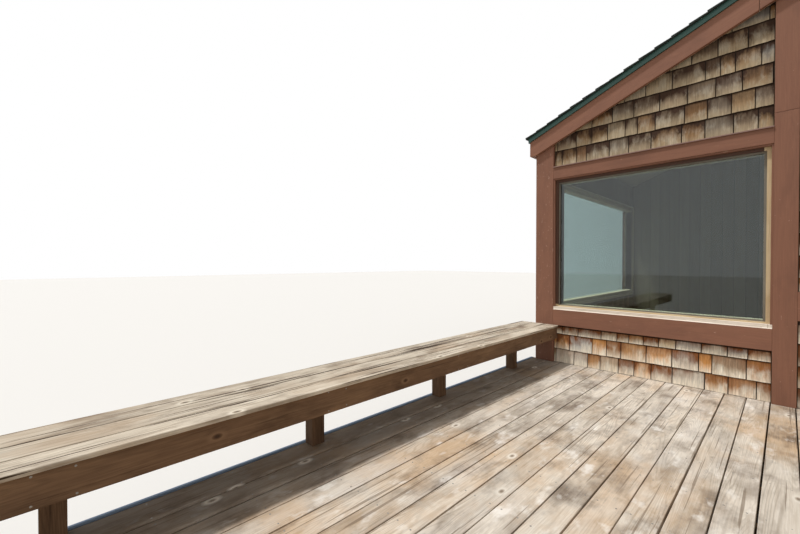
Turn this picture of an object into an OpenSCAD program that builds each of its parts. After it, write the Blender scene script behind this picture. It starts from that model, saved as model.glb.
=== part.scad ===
// Single-storey beach house with a low gable roof, cedar shingle walls,
// large fixed windows, and a timber deck with a built-in bench.
// X runs along the end walls, Y from the deck into the house, Z up from the ground.
// The seaward side is at low X, and the deck is at low Y.

/* [Plan] */
// Width of each window in the two end walls
end_window_w = 1850; // [1200:10:2200]
// Width of each window in the seaward wall
sea_window_w = 3250; // [1800:10:3600]
// Width of the shingled bay in the middle of the end walls
mid_bay_w = 2400; // [1800:10:3200]
// Width of a corner board, over both faces
corner_w = 213; // [150:1:260]
// Width of a post board between two bays
post_w = 144; // [120:1:200]

/* [Heights] */
// Top of the deck boards above the ground
deck_h = 650; // [600:10:900]
// House floor above the deck boards
floor_step = 40; // [20:5:60]
// Window sill board's top above the deck
sill_h = 627; // [500:1:800]
// Head board's lower edge above the deck
head_h = 2174; // [2130:1:2250]
// Rake fascia's lower edge above the head boards, at the corner board's face
rake_over_head = 167; // [60:1:300]
// Roof slope in degrees
roof_angle = 22.6; // [18:0.1:27]
// Foundation's top above the ground
foundation_h = 400; // [300:10:440]

/* [Walls] */
// Framed wall's thickness, with its sheathing and lining
wall_t = 120; // [100:5:180]
// Thickness of the boards on the walls
trim_t = 50; // [40:1:60]
// Cladding's lap below the foundation's top
skirt_lap = 30; // [20:5:60]
// Foundation wall's thickness
foundation_t = 200; // [150:10:250]
// Height of the head boards
head_board_h = 141; // [100:1:160]
// Height of the sill boards
sill_board_h = 185; // [120:1:200]
// Belt board's lower edge above the deck
belt_base = 709; // [650:1:800]
// Height of the belt board
belt_board_h = 236; // [140:1:240]

/* [Shingles] */
// Height of wall shingle that each course shows
course_h = 180; // [120:5:200]
// Height of the first course in a field
first_course = 160; // [110:1:200]
// Height of the first course above a head board
gable_course = 186; // [110:1:200]
// Height of the first course above a belt board
belt_course = 109; // [90:1:180]
// Least height of a course that is cut short at a board
least_course = 5; // [1:1:20]
// Thickness of a wall shingle's butt
butt_t = 16; // [10:1:20]
// Thickness that stays at a shingle course's top
tip_t = 6; // [4:1:8]
// Gap between shingles and the boards beside them
shingle_gap = 3; // [1:0.5:6]
// Height of roof shingle that each course shows
roof_course = 145; // [120:5:180]
// Thickness of the roof shingles at a butt
roof_butt_t = 24; // [14:1:28]
// Thickness of the roof shingles at a course's top
roof_tip_t = 8; // [6:1:12]

/* [Windows and door] */
// Set-back of the glass from the board faces
glass_inset = 78; // [65:1:95]
// Glass thickness
glass_t = 6; // [4:1:12]
// Width of the jamb's face
jamb_w = 14; // [10:1:20]
// Set-back of the jamb's front from the board faces
jamb_inset = 10; // [4:1:20]
// Width of the stop in front of the glass
stop_w = 28; // [20:1:36]
// Depth of the stop in front of the glass
stop_d = 34; // [24:1:45]
// Width of the glazing bead inside the stop
bead_w = 18; // [10:1:24]
// Depth of the glazing bead
bead_d = 12; // [8:1:20]
// Height of the glazing bead on the sill
bead_h = 27; // [15:1:35]
// Rise of the sloping sill from its nose to the stop
sill_rise = 35; // [15:1:45]
// Width of the casing inside the room
casing_w = 36; // [24:1:38]
// Thickness of the casing inside the room
casing_t = 16; // [10:1:18]
// Width of the passage between the two rooms
passage_w = 1200; // [900:10:2000]
// Door leaf width
door_w = 914; // [800:1:1000]
// Door leaf height
door_h = 2032; // [1900:1:2060]
// Door leaf thickness
door_t = 44; // [35:1:55]
// Gap round the door leaf
door_gap = 4; // [2:0.5:6]
// Width of the door frame's face
door_frame_w = 40; // [30:1:60]
// Width of the boards round the door
door_casing_w = 90; // [70:1:120]
// Part of the door frame's face that shows inside those boards
door_reveal = 15; // [8:1:20]
// Width of the stop that the closed leaf rests against
door_stop_w = 12; // [8:1:20]
// Height of the threshold above the floor
threshold_h = 20; // [12:1:30]

/* [Roof] */
// Rafters with boarding and ceiling, square to the slope
roof_t = 215; // [200:5:300]
// Height of the fascias, square to the slope
fascia_h = 185; // [180:1:290]
// Fascia thickness
fascia_t = 38; // [25:1:50]
// How far in from the corner board's face the rake fascia's level foot runs
foot_in = 4; // [0:1:60]
// Eave fascia's set-out from the corner board's face
eave_out = 25; // [0:1:40]
// Height of the drip edge above the fascia
drip_h = 50; // [30:1:70]
// Drip edge's reach past the fascia
drip_out = 14; // [8:1:25]
// Roof shingles' reach past the drip edge
shingle_over = 25; // [10:1:40]
// Length of ridge cap on each slope
cap_w = 150; // [100:5:200]
// Thickness of the ridge cap
cap_t = 12; // [8:1:20]

/* [Deck] */
// Deck length from the wall
deck_l = 6200; // [5200:50:7200]
// Deck's reach past the corner boards on the seaward side, and about the same on the other
deck_side = 83; // [60:1:140]
// Deck board width
board_w = 139.5; // [90:0.5:185]
// Width of the deck board along the seaward rim
edge_board_w = 184; // [90:1:240]
// Deck board thickness
board_t = 38; // [25:1:45]
// Gap between deck boards
board_gap = 7.4; // [3:0.1:10]
// Rim and joist thickness
joist_t = 38; // [35:1:50]
// Joist height
joist_h = 140; // [120:1:150]
// Joist spacing
joist_pitch = 406; // [300:1:610]
// Beam height
beam_h = 184; // [140:1:190]
// Beam thickness
beam_t = 76; // [70:1:100]
// Number of beams
beam_count = 3; // [2:1:4]
// Beam's set-in from the side rims
beam_inset = 250; // [150:10:500]
// Posts under each beam
post_count = 4; // [3:1:5]
// Pier block height
pier_h = 150; // [100:5:180]
// Pier block width at the ground
pier_base = 300; // [240:10:400]
// Pier block width at the top
pier_top = 200; // [150:10:230]

/* [Bench] */
// Seat height above the deck
bench_h = 445; // [400:5:500]
// Seat boards' total width
bench_w = 460; // [420:5:560]
// Distance from the corner board's outer face to the bench front
bench_front = 280; // [240:1:400]
// Number of seat boards
seat_boards = 3; // [2:1:5]
// Gap between seat boards
seat_gap = 8; // [4:1:12]
// Width of a seat board; the one at the back takes what is left
seat_board_w = 140; // [90:1:160]
// Seat board thickness
seat_t = 22; // [18:1:45]
// Height of the boards under the seat's edges
apron_h = 138; // [90:1:150]
// Thickness of the boards under the seat's edges
apron_t = 38; // [25:1:45]
// Set-back of those boards from the seat's edges
apron_in = 15; // [0:1:30]
// Height of the bearers that carry the seat
bearer_h = 89; // [70:1:110]
// Bench post spacing
bench_post_pitch = 1260; // [1000:5:1400]
// Distance from the wall boards to the first bench post
bench_post_first = 580; // [300:5:700]
// Side of a square post
post_side = 89; // [75:1:100]

/* [Hidden] */

// How far a cutting shape runs past the piece it cuts
cut = 20;

// The house over its corner boards
house_w = 2 * (corner_w + end_window_w + post_w) + mid_bay_w;
house_l = 2 * (corner_w + sea_window_w) + post_w;

// Deck boards: whole boards beside the one on the seaward rim, with even gaps
board_pitch = board_w + board_gap;
board_count = round((house_w + 2 * (deck_side - joist_t) - edge_board_w) / board_pitch);
field_w = edge_board_w + board_gap + board_count * board_pitch;
deck_w = field_w + 2 * joist_t;

// The house's place in the whole
bench_over = bench_w - bench_front;
drip_reach = fascia_t + drip_out;
eave_over = eave_out + drip_reach + shingle_over;
left_over = max(bench_over, deck_side, eave_over);
right_over = max(deck_w - house_w - deck_side, eave_over);
gable_over = drip_reach + shingle_over;
x_sea = (right_over + house_w + left_over) / -2 + left_over;
x_land = x_sea + house_w;
x_mid = (x_sea + x_land) / 2;
y_front = (deck_l + house_l + gable_over) / -2 + deck_l;
y_back = y_front + house_l;
y_mid = (y_front + y_back) / 2;

// Heights above the ground
floor_z = deck_h + floor_step;
skirt_z = foundation_h - skirt_lap;
sill_z = deck_h + sill_h;
head_z = deck_h + head_h;
head_top = head_z + head_board_h;
belt_z = deck_h + belt_base;
belt_top = belt_z + belt_board_h;

// Roof: heights on a slope grow with the distance in from the corner board's face
slope = tan(roof_angle);
plumb = 1 / cos(roof_angle);
half_w = house_w / 2;
rake_low = head_top + rake_over_head;
rake_high = rake_low + fascia_h * plumb;
deck_top = rake_high + drip_h * plumb;
roof_under = deck_top - roof_t * plumb;
eave_x = eave_out + fascia_t;

// Window places along each wall, measured from the wall's middle
end_win_x = half_w - corner_w - end_window_w / 2;
sea_win_x = (post_w + sea_window_w) / 2;
land_win_x = house_l / 2 - corner_w - end_window_w / 2;
end_post_x = (mid_bay_w + post_w) / 2;
land_bay = house_l - 2 * (corner_w + end_window_w + post_w);
land_post_x = (land_bay + post_w) / 2;

// The door's opening in the front wall
door_open_w = door_w + 2 * (door_gap + door_frame_w);
leaf_z = floor_z + threshold_h + door_gap;
leaf_top = leaf_z + door_h;
casing_x = door_open_w / 2 - door_reveal + door_casing_w;
casing_top = leaf_top + door_gap + door_frame_w - door_reveal + door_casing_w;

// Deck
x_deck = x_sea - deck_side;
y_deck = y_front - deck_l;
y_ledger = y_front + trim_t;
frame_top = deck_h - board_t;

// The first course above the skirt, so that all courses line up round the house
skirt_course = (deck_h + first_course - skirt_z) % course_h;

// Bench
x_bench = x_sea + bench_front - bench_w;
bench_post_count = floor((deck_l - 2 * bench_post_first) / bench_post_pitch) + 1;
bench_l = 2 * bench_post_first + (bench_post_count - 1) * bench_post_pitch;
seat_pitch = seat_board_w + seat_gap;
back_board_w = bench_w - (seat_boards - 1) * seat_pitch;
seat_under = deck_h + bench_h - seat_t;
x_bench_post = x_deck + joist_t;

// Colours
shingle_color = "#B08A5C";
trim_color = "#8A5A48";
frame_color = "#C9B48C";
wood_color = "#A8937A";
roof_color = "#26302C";
drip_color = "#2F5A55";
concrete_color = "#A8A49C";
wall_color = "#E4DED0";

// Places: each puts a wall drawn along X, facing -Y, with its board faces at y = 0
module at_front() { translate([x_mid, y_front, 0]) children(); }
module at_back() { translate([x_mid, y_back, 0]) rotate([0, 0, 180]) children(); }
module at_seaward() { translate([x_sea, y_mid, 0]) rotate([0, 0, -90]) children(); }
module at_landward() { translate([x_land, y_mid, 0]) rotate([0, 0, 90]) children(); }

// A box given by its low and high corners
module box(low, high) { translate(low) cube(high - low); }

// A slab of constant thickness from an outline in X and Z
module wall_slab(y0, y1) {
    translate([0, y1, 0]) rotate([90, 0, 0]) linear_extrude(y1 - y0) children();
}

// A slab of constant length along X from an outline in Y and Z
module along_x(x0, x1) {
    translate([x0, 0, 0]) rotate([90, 0, 90]) linear_extrude(x1 - x0) children();
}

// Height of a roof line at a place x across the house, from its height at the corner boards
function roof_line(x, base) = base + slope * (half_w - abs(x));

// Outline of an end wall between two heights, up to a roof line
module gable_outline(z0, base, side) {
    polygon([
        [-side, z0], [side, z0],
        [side, roof_line(side, base)],
        [0, roof_line(0, base)],
        [-side, roof_line(side, base)]
    ]);
}

// Foundation and floor
module foundation_wall() {
    color(concrete_color) difference() {
        box([x_sea + trim_t, y_front + trim_t, 0], [x_land - trim_t, y_back - trim_t, foundation_h]);
        box([x_sea + trim_t + foundation_t, y_front + trim_t + foundation_t, -cut],
            [x_land - trim_t - foundation_t, y_back - trim_t - foundation_t, foundation_h + cut]);
    }
}

module floor_platform() {
    color(wood_color)
        box([x_sea + trim_t, y_front + trim_t, foundation_h], [x_land - trim_t, y_back - trim_t, floor_z]);
}

// End walls: slabs under the sills, piers between the openings, and the gable over them
core_x = half_w - trim_t;
core_y0 = trim_t;
core_y1 = trim_t + wall_t;

module core_box(x0, x1, z0, z1) { box([x0, core_y0, z0], [x1, core_y1, z1]); }

module end_piers(middle) {
    win0 = end_win_x - end_window_w / 2;
    win1 = end_win_x + end_window_w / 2;
    for (side = [-1, 1])
        core_box(min(side * win1, side * core_x), max(side * win1, side * core_x), sill_z, head_z);
    if (middle > 0)
        for (side = [-1, 1])
            core_box(min(side * middle, side * win0), max(side * middle, side * win0), sill_z, head_z);
    else core_box(-win0, win0, sill_z, head_z);
}

module end_gable() { wall_slab(core_y0, core_y1) gable_outline(head_z, roof_under, core_x); }

module front_wall_base() {
    color(wall_color) at_front() {
        core_box(-core_x, -door_open_w / 2, floor_z, sill_z);
        core_box(door_open_w / 2, core_x, floor_z, sill_z);
    }
}

module front_wall_piers() { color(wall_color) at_front() end_piers(door_open_w / 2); }
module front_wall_gable() { color(wall_color) at_front() end_gable(); }
module back_wall_base() { color(wall_color) at_back() core_box(-core_x, core_x, floor_z, sill_z); }
module back_wall_piers() { color(wall_color) at_back() end_piers(0); }
module back_wall_gable() { color(wall_color) at_back() end_gable(); }

// Side walls stand between the end walls
side_x = house_l / 2 - core_y1;

module side_base() { core_box(-side_x, side_x, floor_z, sill_z); }

module side_piers(win_x, win_w) {
    for (side = [-1, 1]) {
        outer = side * (win_x + win_w / 2);
        core_box(min(outer, side * side_x), max(outer, side * side_x), sill_z, head_z);
    }
    core_box(win_w / 2 - win_x, win_x - win_w / 2, sill_z, head_z);
}

// The header's top follows the roof's underside
module side_header() {
    along_x(-side_x, side_x) polygon([
        [core_y0, head_z], [core_y1, head_z],
        [core_y1, roof_under + slope * core_y1],
        [core_y0, roof_under + slope * core_y0]
    ]);
}

// Room divider: two leaves up to the roof, between the casings of the two seaward windows
divider_t = post_w - 2 * (casing_w - jamb_w + 5);

module room_divider() {
    color(wall_color) for (side = [0, 1]) translate([x_mid, y_mid, 0]) mirror([side, 0, 0])
        wall_slab(-divider_t / 2, divider_t / 2) polygon([
            [core_y1 - half_w, floor_z], [-passage_w / 2, floor_z],
            [-passage_w / 2, roof_line(passage_w / 2, roof_under)],
            [core_y1 - half_w, roof_line(half_w - core_y1, roof_under)]
        ]);
}

module seaward_wall_base() { color(wall_color) at_seaward() side_base(); }
module seaward_wall_piers() { color(wall_color) at_seaward() side_piers(sea_win_x, sea_window_w); }
module seaward_wall_header() { color(wall_color) at_seaward() side_header(); }
module landward_wall_base() { color(wall_color) at_landward() side_base(); }
module landward_wall_piers() { color(wall_color) at_landward() side_piers(land_win_x, end_window_w); }
module landward_wall_header() { color(wall_color) at_landward() side_header(); }

// Shingle courses: each is thick at its butt and thin at its top, under the next one's butt
module course_profile(z0, z1, first) {
    butts = [for (z = z0 + first; z < z1 - least_course; z = z + course_h) if (z > z0 + least_course) z];
    starts = concat([z0], butts);
    ends = concat(butts, [z1]);
    polygon(concat(
        [[trim_t, z0]],
        [for (i = [0 : len(starts) - 1]) each [
            [trim_t - butt_t, starts[i]],
            [trim_t - tip_t, ends[i]]
        ]],
        [[trim_t, z1]]
    ));
}

module courses(x0, x1, z0, z1, first) {
    along_x(x0 + shingle_gap, x1 - shingle_gap) course_profile(z0, z1, first);
}

// Fields of shingles on an end wall: under each window, in the gable, and in the middle bay
module end_shingles(z0, first, door) {
    bay = mid_bay_w / 2;
    win0 = bay + post_w;
    win1 = win0 + end_window_w;
    roof_top = roof_line(0, roof_under);
    intersection() {
        for (side = [0, 1]) mirror([side, 0, 0]) {
            courses(win0, win1, z0, sill_z - sill_board_h - shingle_gap, first);
            courses(win0, win1, head_top + shingle_gap, roof_top, gable_course);
            difference() {
                union() {
                    courses(-shingle_gap, bay, z0, belt_z - shingle_gap, first);
                    courses(-shingle_gap, bay, belt_top + shingle_gap, roof_top, belt_course);
                }
                if (door) box([-cut, 0, z0 - cut], [casing_x + shingle_gap, trim_t + cut, casing_top + shingle_gap]);
            }
        }
        wall_slab(0, trim_t) gable_outline(z0, roof_under, core_x);
    }
}

// Fields of shingles on a side wall, with a bay of a given width in its middle
module side_shingles(win_x, win_w, bay) {
    eave = roof_under + slope * (trim_t - butt_t);
    for (side = [0, 1]) mirror([side, 0, 0]) {
        courses(win_x - win_w / 2, win_x + win_w / 2, skirt_z, sill_z - sill_board_h - shingle_gap,
            skirt_course);
        courses(win_x - win_w / 2, win_x + win_w / 2, head_top + shingle_gap, eave, gable_course);
    }
    if (bay > 0) {
        courses(-bay / 2, bay / 2, skirt_z, belt_z - shingle_gap, skirt_course);
        courses(-bay / 2, bay / 2, belt_top + shingle_gap, eave, belt_course);
    }
}

module front_shingles() { color(shingle_color) at_front() end_shingles(deck_h, first_course, true); }
module back_shingles() { color(shingle_color) at_back() end_shingles(skirt_z, skirt_course, false); }
module seaward_shingles() { color(shingle_color) at_seaward() side_shingles(sea_win_x, sea_window_w, 0); }
module landward_shingles() {
    color(shingle_color) at_landward() side_shingles(land_win_x, end_window_w, land_bay);
}

// A board up the face of an end wall, cut to the roof
module end_board(x0, x1, z0) {
    intersection() {
        box([x0, 0, z0], [x1, trim_t, roof_line(0, roof_under)]);
        wall_slab(-cut, trim_t + cut) gable_outline(z0 - cut, roof_under, half_w);
    }
}

// A board up the face of a side wall, cut to the roof
module side_board(x0, x1) {
    along_x(x0, x1) polygon([
        [0, skirt_z], [trim_t, skirt_z], [trim_t, roof_under + slope * trim_t], [0, roof_under]
    ]);
}

// Corner boards: the end wall's board laps the side wall's, to an L
module corner_boards() {
    color(trim_color) {
        at_front() for (side = [0, 1]) mirror([side, 0, 0]) end_board(-half_w, corner_w - half_w, deck_h);
        at_back() for (side = [0, 1]) mirror([side, 0, 0]) end_board(-half_w, corner_w - half_w, skirt_z);
        at_seaward() for (side = [0, 1]) mirror([side, 0, 0])
            side_board(house_l / 2 - corner_w, house_l / 2 - trim_t);
        at_landward() for (side = [0, 1]) mirror([side, 0, 0])
            side_board(house_l / 2 - corner_w, house_l / 2 - trim_t);
    }
}

// Post boards run from the bottom of the wall to the roof
module end_posts(z0) {
    for (side = [-1, 1]) end_board(side * end_post_x - post_w / 2, side * end_post_x + post_w / 2, z0);
}

module post_boards() {
    color(trim_color) {
        at_front() end_posts(deck_h);
        at_back() end_posts(skirt_z);
        at_seaward() side_board(-post_w / 2, post_w / 2);
        at_landward() for (side = [-1, 1])
            side_board(side * land_post_x - post_w / 2, side * land_post_x + post_w / 2);
    }
}

// Repeats its children at every window of the house, with $w as the window's width
module each_window() {
    for (side = [-1, 1]) {
        let($w = end_window_w) {
            at_front() translate([side * end_win_x, 0, 0]) children();
            at_back() translate([side * end_win_x, 0, 0]) children();
            at_landward() translate([side * land_win_x, 0, 0]) children();
        }
        let($w = sea_window_w) at_seaward() translate([side * sea_win_x, 0, 0]) children();
    }
}

module head_trims() {
    color(trim_color) each_window() box([-$w / 2, 0, head_z], [$w / 2, trim_t, head_top]);
}

module sill_trims() {
    color(trim_color) each_window() box([-$w / 2, 0, sill_z - sill_board_h], [$w / 2, trim_t, sill_z]);
}

module belt_boards() {
    color(trim_color) {
        at_front() for (side = [0, 1]) mirror([side, 0, 0])
            box([casing_x, 0, belt_z], [mid_bay_w / 2, trim_t, belt_top]);
        at_back() box([-mid_bay_w / 2, 0, belt_z], [mid_bay_w / 2, trim_t, belt_top]);
        at_landward() box([-land_bay / 2, 0, belt_z], [land_bay / 2, trim_t, belt_top]);
    }
}

// A rectangular ring round an opening, with a width for its sides and top, and one for its bottom
module ring(w, z0, z1, side, bottom, y0, y1) {
    difference() {
        box([-w / 2, y0, z0], [w / 2, y1, z1]);
        box([-w / 2 + side, y0 - cut, z0 + bottom], [w / 2 - side, y1 + cut, z1 - side]);
    }
}

// Window frame: jambs and head through the wall, a sloping sill, and a lip behind the glass
glass_y = glass_inset;
stop_y = glass_inset - stop_d;
rim_w = jamb_w + stop_w + bead_w;

module sill_slope(w) {
    along_x(-w / 2, w / 2) polygon([
        [0, sill_z], [stop_y, sill_z + sill_rise], [core_y1, sill_z + sill_rise], [core_y1, sill_z]
    ]);
}

module window_frame(w) {
    ring(w, sill_z, head_z, jamb_w, sill_rise, jamb_inset, core_y1);
    sill_slope(w);
    ring(w - jamb_w, sill_z + sill_rise / 2, head_z - jamb_w / 2, rim_w - jamb_w / 2, sill_rise / 2 + bead_h,
        glass_y + glass_t, core_y1);
}

module window_frames() { color(frame_color) each_window() window_frame($w); }

// Stops stand inside the jambs on the sill, and carry the bead against the glass
module window_stop(w) {
    z0 = sill_z + sill_rise;
    z1 = head_z - jamb_w;
    ring(w - 2 * jamb_w, z0, z1, stop_w, bead_h / 2, stop_y, glass_y);
    ring(w - 2 * jamb_w - stop_w, z0, z1 - stop_w / 2, stop_w / 2 + bead_w, bead_h, glass_y - bead_d, glass_y);
}

module window_stops() { color(frame_color) each_window() window_stop($w); }

module window_glass() {
    color("#9FB8C4", 0.4) each_window()
        box([-$w / 2 + jamb_w, glass_y, sill_z + sill_rise],
            [$w / 2 - jamb_w, glass_y + glass_t, head_z - jamb_w]);
}

module interior_casings() {
    over = casing_w - jamb_w;
    color(frame_color) each_window()
        ring($w + 2 * over, sill_z - over, head_z + over, casing_w, casing_w, core_y1, core_y1 + casing_t);
}

// Door frame: jambs, head and threshold through the wall with a stop behind the leaf,
// and boards round them on the outside
module door_frame() {
    tread_z = floor_z + threshold_h;
    stop_x = door_w / 2 - door_stop_w;
    jamb_x = door_w / 2 + door_gap;
    board_x = casing_x - door_casing_w;
    color(trim_color) at_front() {
        difference() {
            box([-door_open_w / 2, trim_t, floor_z], [door_open_w / 2, core_y1, head_z]);
            box([-jamb_x, 0, tread_z], [jamb_x, trim_t + door_t, leaf_top + door_gap]);
            box([-stop_x, 0, tread_z], [stop_x, core_y1 + cut, leaf_top - door_stop_w]);
        }
        difference() {
            box([-casing_x, 0, deck_h], [casing_x, trim_t, casing_top]);
            box([-board_x, -cut, tread_z], [board_x, trim_t + cut, casing_top - door_casing_w]);
        }
    }
}

module door_leaf() {
    color(trim_color) at_front() box([-door_w / 2, trim_t, leaf_z], [door_w / 2, trim_t + door_t, leaf_top]);
}

// Roof: each slope is a slab cut plumb at the ridge and at the eave
module on_slopes(side) { translate([x_mid, 0, 0]) mirror([side, 0, 0]) children(); }

module slope_slab() {
    wall_slab(y_front, y_back) polygon([
        [-half_w - eave_out, deck_top - slope * eave_out],
        [0, deck_top + slope * half_w],
        [0, roof_under + slope * half_w],
        [-half_w - eave_out, roof_under - slope * eave_out]
    ]);
}

module seaward_roof_slope() { color(wood_color) on_slopes(0) slope_slab(); }
module landward_roof_slope() { color(wood_color) on_slopes(1) slope_slab(); }

// Roof shingle courses, drawn along the slope from the eave to the ridge
drip_edge = eave_x + drip_out;
roof_edge = drip_edge + shingle_over;
slope_l = (half_w + roof_edge) * plumb;

module roof_profile() {
    count = ceil(slope_l / roof_course);
    polygon(concat(
        [[0, 0]],
        [for (i = [0 : count - 1]) each [
            [i * roof_course, roof_butt_t],
            [min((i + 1) * roof_course, slope_l), roof_tip_t]
        ]],
        [[slope_l, 0]]
    ));
}

module roof_field() {
    intersection() {
        translate([-half_w - roof_edge, 0, deck_top - slope * roof_edge]) rotate([0, -roof_angle, 0])
            wall_slab(y_front - gable_over, y_back + gable_over) roof_profile();
        box([-half_w - roof_edge, y_front - gable_over - cut, 0],
            [0, y_back + gable_over + cut, deck_top + 2 * slope * half_w]);
    }
}

module roof_shingles() { color(roof_color) for (side = [0, 1]) on_slopes(side) roof_field(); }

// Ridge cap: a bent strip over the last courses
module ridge_cap() {
    peak = deck_top + slope * half_w + roof_butt_t * plumb;
    across = cap_w * cos(roof_angle);
    fall = cap_w * sin(roof_angle);
    color(roof_color) translate([x_mid, 0, 0])
        wall_slab(y_front - gable_over, y_back + gable_over) polygon([
            [-across, peak - fall], [0, peak], [across, peak - fall],
            [across, peak - fall + cap_t * plumb], [0, peak + cap_t * plumb],
            [-across, peak - fall + cap_t * plumb]
        ]);
}

// Rake fascias: plumb cut at the ridge and the eave, with the foot cut level on the eave fascia's line
eave_low = rake_low + slope * foot_in;

module rake_board() {
    wall_slab(-fascia_t, 0) difference() {
        polygon([
            [-half_w - eave_x, rake_low - slope * eave_x],
            [0, rake_low + slope * half_w],
            [0, rake_high + slope * half_w],
            [-half_w - eave_x, rake_high - slope * eave_x]
        ]);
        translate([-half_w - eave_x - cut, 0]) square([half_w, eave_low]);
    }
}

module rake_fascias() {
    color(trim_color) {
        at_front() for (side = [0, 1]) mirror([side, 0, 0]) rake_board();
        at_back() for (side = [0, 1]) mirror([side, 0, 0]) rake_board();
    }
}

module eave_fascias() {
    color(trim_color) for (side = [0, 1]) on_slopes(side)
        wall_slab(y_front, y_back) polygon([
            [-half_w - eave_x, eave_low], [-half_w - eave_out, eave_low],
            [-half_w - eave_out, rake_high - slope * eave_out],
            [-half_w - eave_x, rake_high - slope * eave_x]
        ]);
}

// Drip edges stand over the fascias and reach past them, along rakes and eaves
module drip_edges() {
    color(drip_color) {
        for (place = [0, 1]) translate([x_mid, place == 0 ? y_front : y_back, 0]) rotate([0, 0, 180 * place])
            wall_slab(-drip_reach, 0) polygon([
                [-half_w - drip_edge, rake_high - slope * drip_edge],
                [0, rake_high + slope * half_w],
                [half_w + drip_edge, rake_high - slope * drip_edge],
                [half_w + drip_edge, deck_top - slope * drip_edge],
                [0, deck_top + slope * half_w],
                [-half_w - drip_edge, deck_top - slope * drip_edge]
            ]);
        for (side = [0, 1]) on_slopes(side) wall_slab(y_front, y_back) polygon([
            [-half_w - drip_edge, rake_high - slope * drip_edge],
            [-half_w - eave_out, rake_high - slope * eave_out],
            [-half_w - eave_out, deck_top - slope * eave_out],
            [-half_w - drip_edge, deck_top - slope * drip_edge]
        ]);
    }
}

// Deck
module deck_boards() {
    first = x_deck + joist_t + board_gap / 2;
    color(wood_color) for (i = [0 : board_count])
        translate([first + (i > 0 ? edge_board_w - board_w + i * board_pitch : 0), y_deck, frame_top])
            cube([i > 0 ? board_w : edge_board_w, deck_l + trim_t, board_t]);
}

module deck_side_rims() {
    color(wood_color) for (x = [x_deck, x_deck + deck_w - joist_t])
        translate([x, y_deck, frame_top - joist_h]) cube([joist_t, deck_l + trim_t, joist_h + board_t]);
}

module deck_front_rim() {
    color(wood_color) translate([x_deck + joist_t, y_deck, frame_top - joist_h]) cube([field_w, joist_t, joist_h]);
}

module deck_joists() {
    count = floor((deck_l + trim_t - 2 * joist_t) / joist_pitch);
    color(wood_color) for (i = [0 : count])
        translate([x_deck + joist_t, y_ledger - joist_t - i * joist_pitch, frame_top - joist_h])
            cube([field_w, joist_t, joist_h]);
}

beam_z = frame_top - joist_h - beam_h;
beam_step = (deck_w - 2 * beam_inset - beam_t) / (beam_count - 1);
post_step = (deck_l - 2 * beam_inset - post_side) / (post_count - 1);

module under_beams() {
    for (i = [0 : beam_count - 1]) translate([x_deck + beam_inset + i * beam_step + beam_t / 2, 0, 0])
        for (j = [0 : post_count - 1]) translate([0, y_deck + beam_inset + j * post_step + post_side / 2, 0])
            children();
}

module deck_beams() {
    color(wood_color) for (i = [0 : beam_count - 1])
        translate([x_deck + beam_inset + i * beam_step, y_deck, beam_z]) cube([beam_t, deck_l + trim_t, beam_h]);
}

module deck_posts() {
    color(wood_color) under_beams() translate([-post_side / 2, -post_side / 2, pier_h])
        cube([post_side, post_side, beam_z - pier_h]);
}

// Pier blocks taper on all sides
module pier_outline() {
    polygon([[-pier_base / 2, 0], [pier_base / 2, 0], [pier_top / 2, pier_h], [-pier_top / 2, pier_h]]);
}

module pier_blocks() {
    color(concrete_color) under_beams() intersection() {
        along_x(-pier_base / 2, pier_base / 2) pier_outline();
        wall_slab(-pier_base / 2, pier_base / 2) pier_outline();
    }
}

// Bench
module bench_seat() {
    color(wood_color) for (i = [0 : seat_boards - 1])
        translate([x_bench + (i > 0 ? back_board_w - seat_board_w + i * seat_pitch : 0),
            y_front - bench_l, seat_under])
            cube([i > 0 ? seat_board_w : back_board_w, bench_l, seat_t]);
}

module bench_aprons() {
    color(wood_color) for (x = [x_bench + apron_in, x_bench + bench_w - apron_in - apron_t])
        translate([x, y_front - bench_l, seat_under - apron_h]) cube([apron_t, bench_l, apron_h]);
}

module at_bench_posts() {
    for (i = [0 : bench_post_count - 1])
        translate([x_bench_post, y_front - bench_post_first - i * bench_post_pitch, 0]) children();
}

// A bearer on each side of every post carries the seat boards between the aprons
module bench_bearers() {
    color(wood_color) at_bench_posts() for (y = [-post_side / 2 - joist_t, post_side / 2])
        translate([x_bench + apron_in + apron_t - x_bench_post, y, seat_under - bearer_h])
            cube([bench_w - 2 * (apron_in + apron_t), joist_t, bearer_h]);
}

module bench_posts() {
    color(wood_color) at_bench_posts() translate([0, -post_side / 2, deck_h])
        cube([post_side, post_side, seat_under - deck_h]);
}

foundation_wall();
floor_platform();
front_wall_base();
front_wall_piers();
front_wall_gable();
back_wall_base();
back_wall_piers();
back_wall_gable();
seaward_wall_base();
seaward_wall_piers();
seaward_wall_header();
landward_wall_base();
landward_wall_piers();
landward_wall_header();
room_divider();
front_shingles();
back_shingles();
seaward_shingles();
landward_shingles();
corner_boards();
post_boards();
head_trims();
sill_trims();
belt_boards();
window_frames();
window_stops();
window_glass();
interior_casings();
door_frame();
door_leaf();
seaward_roof_slope();
landward_roof_slope();
roof_shingles();
ridge_cap();
rake_fascias();
eave_fascias();
drip_edges();
deck_boards();
deck_side_rims();
deck_front_rim();
deck_joists();
deck_beams();
deck_posts();
pier_blocks();
bench_seat();
bench_aprons();
bench_bearers();
bench_posts();
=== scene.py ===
"""Shingles, boards, glass and finishes of a beach house with a deck and a built-in bench."""

import math
from functools import partial

import bmesh
import bpy
import numpy as np
from bpy.props import FloatProperty, FloatVectorProperty, IntProperty, PointerProperty
from mathutils import Matrix, Vector, noise


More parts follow.
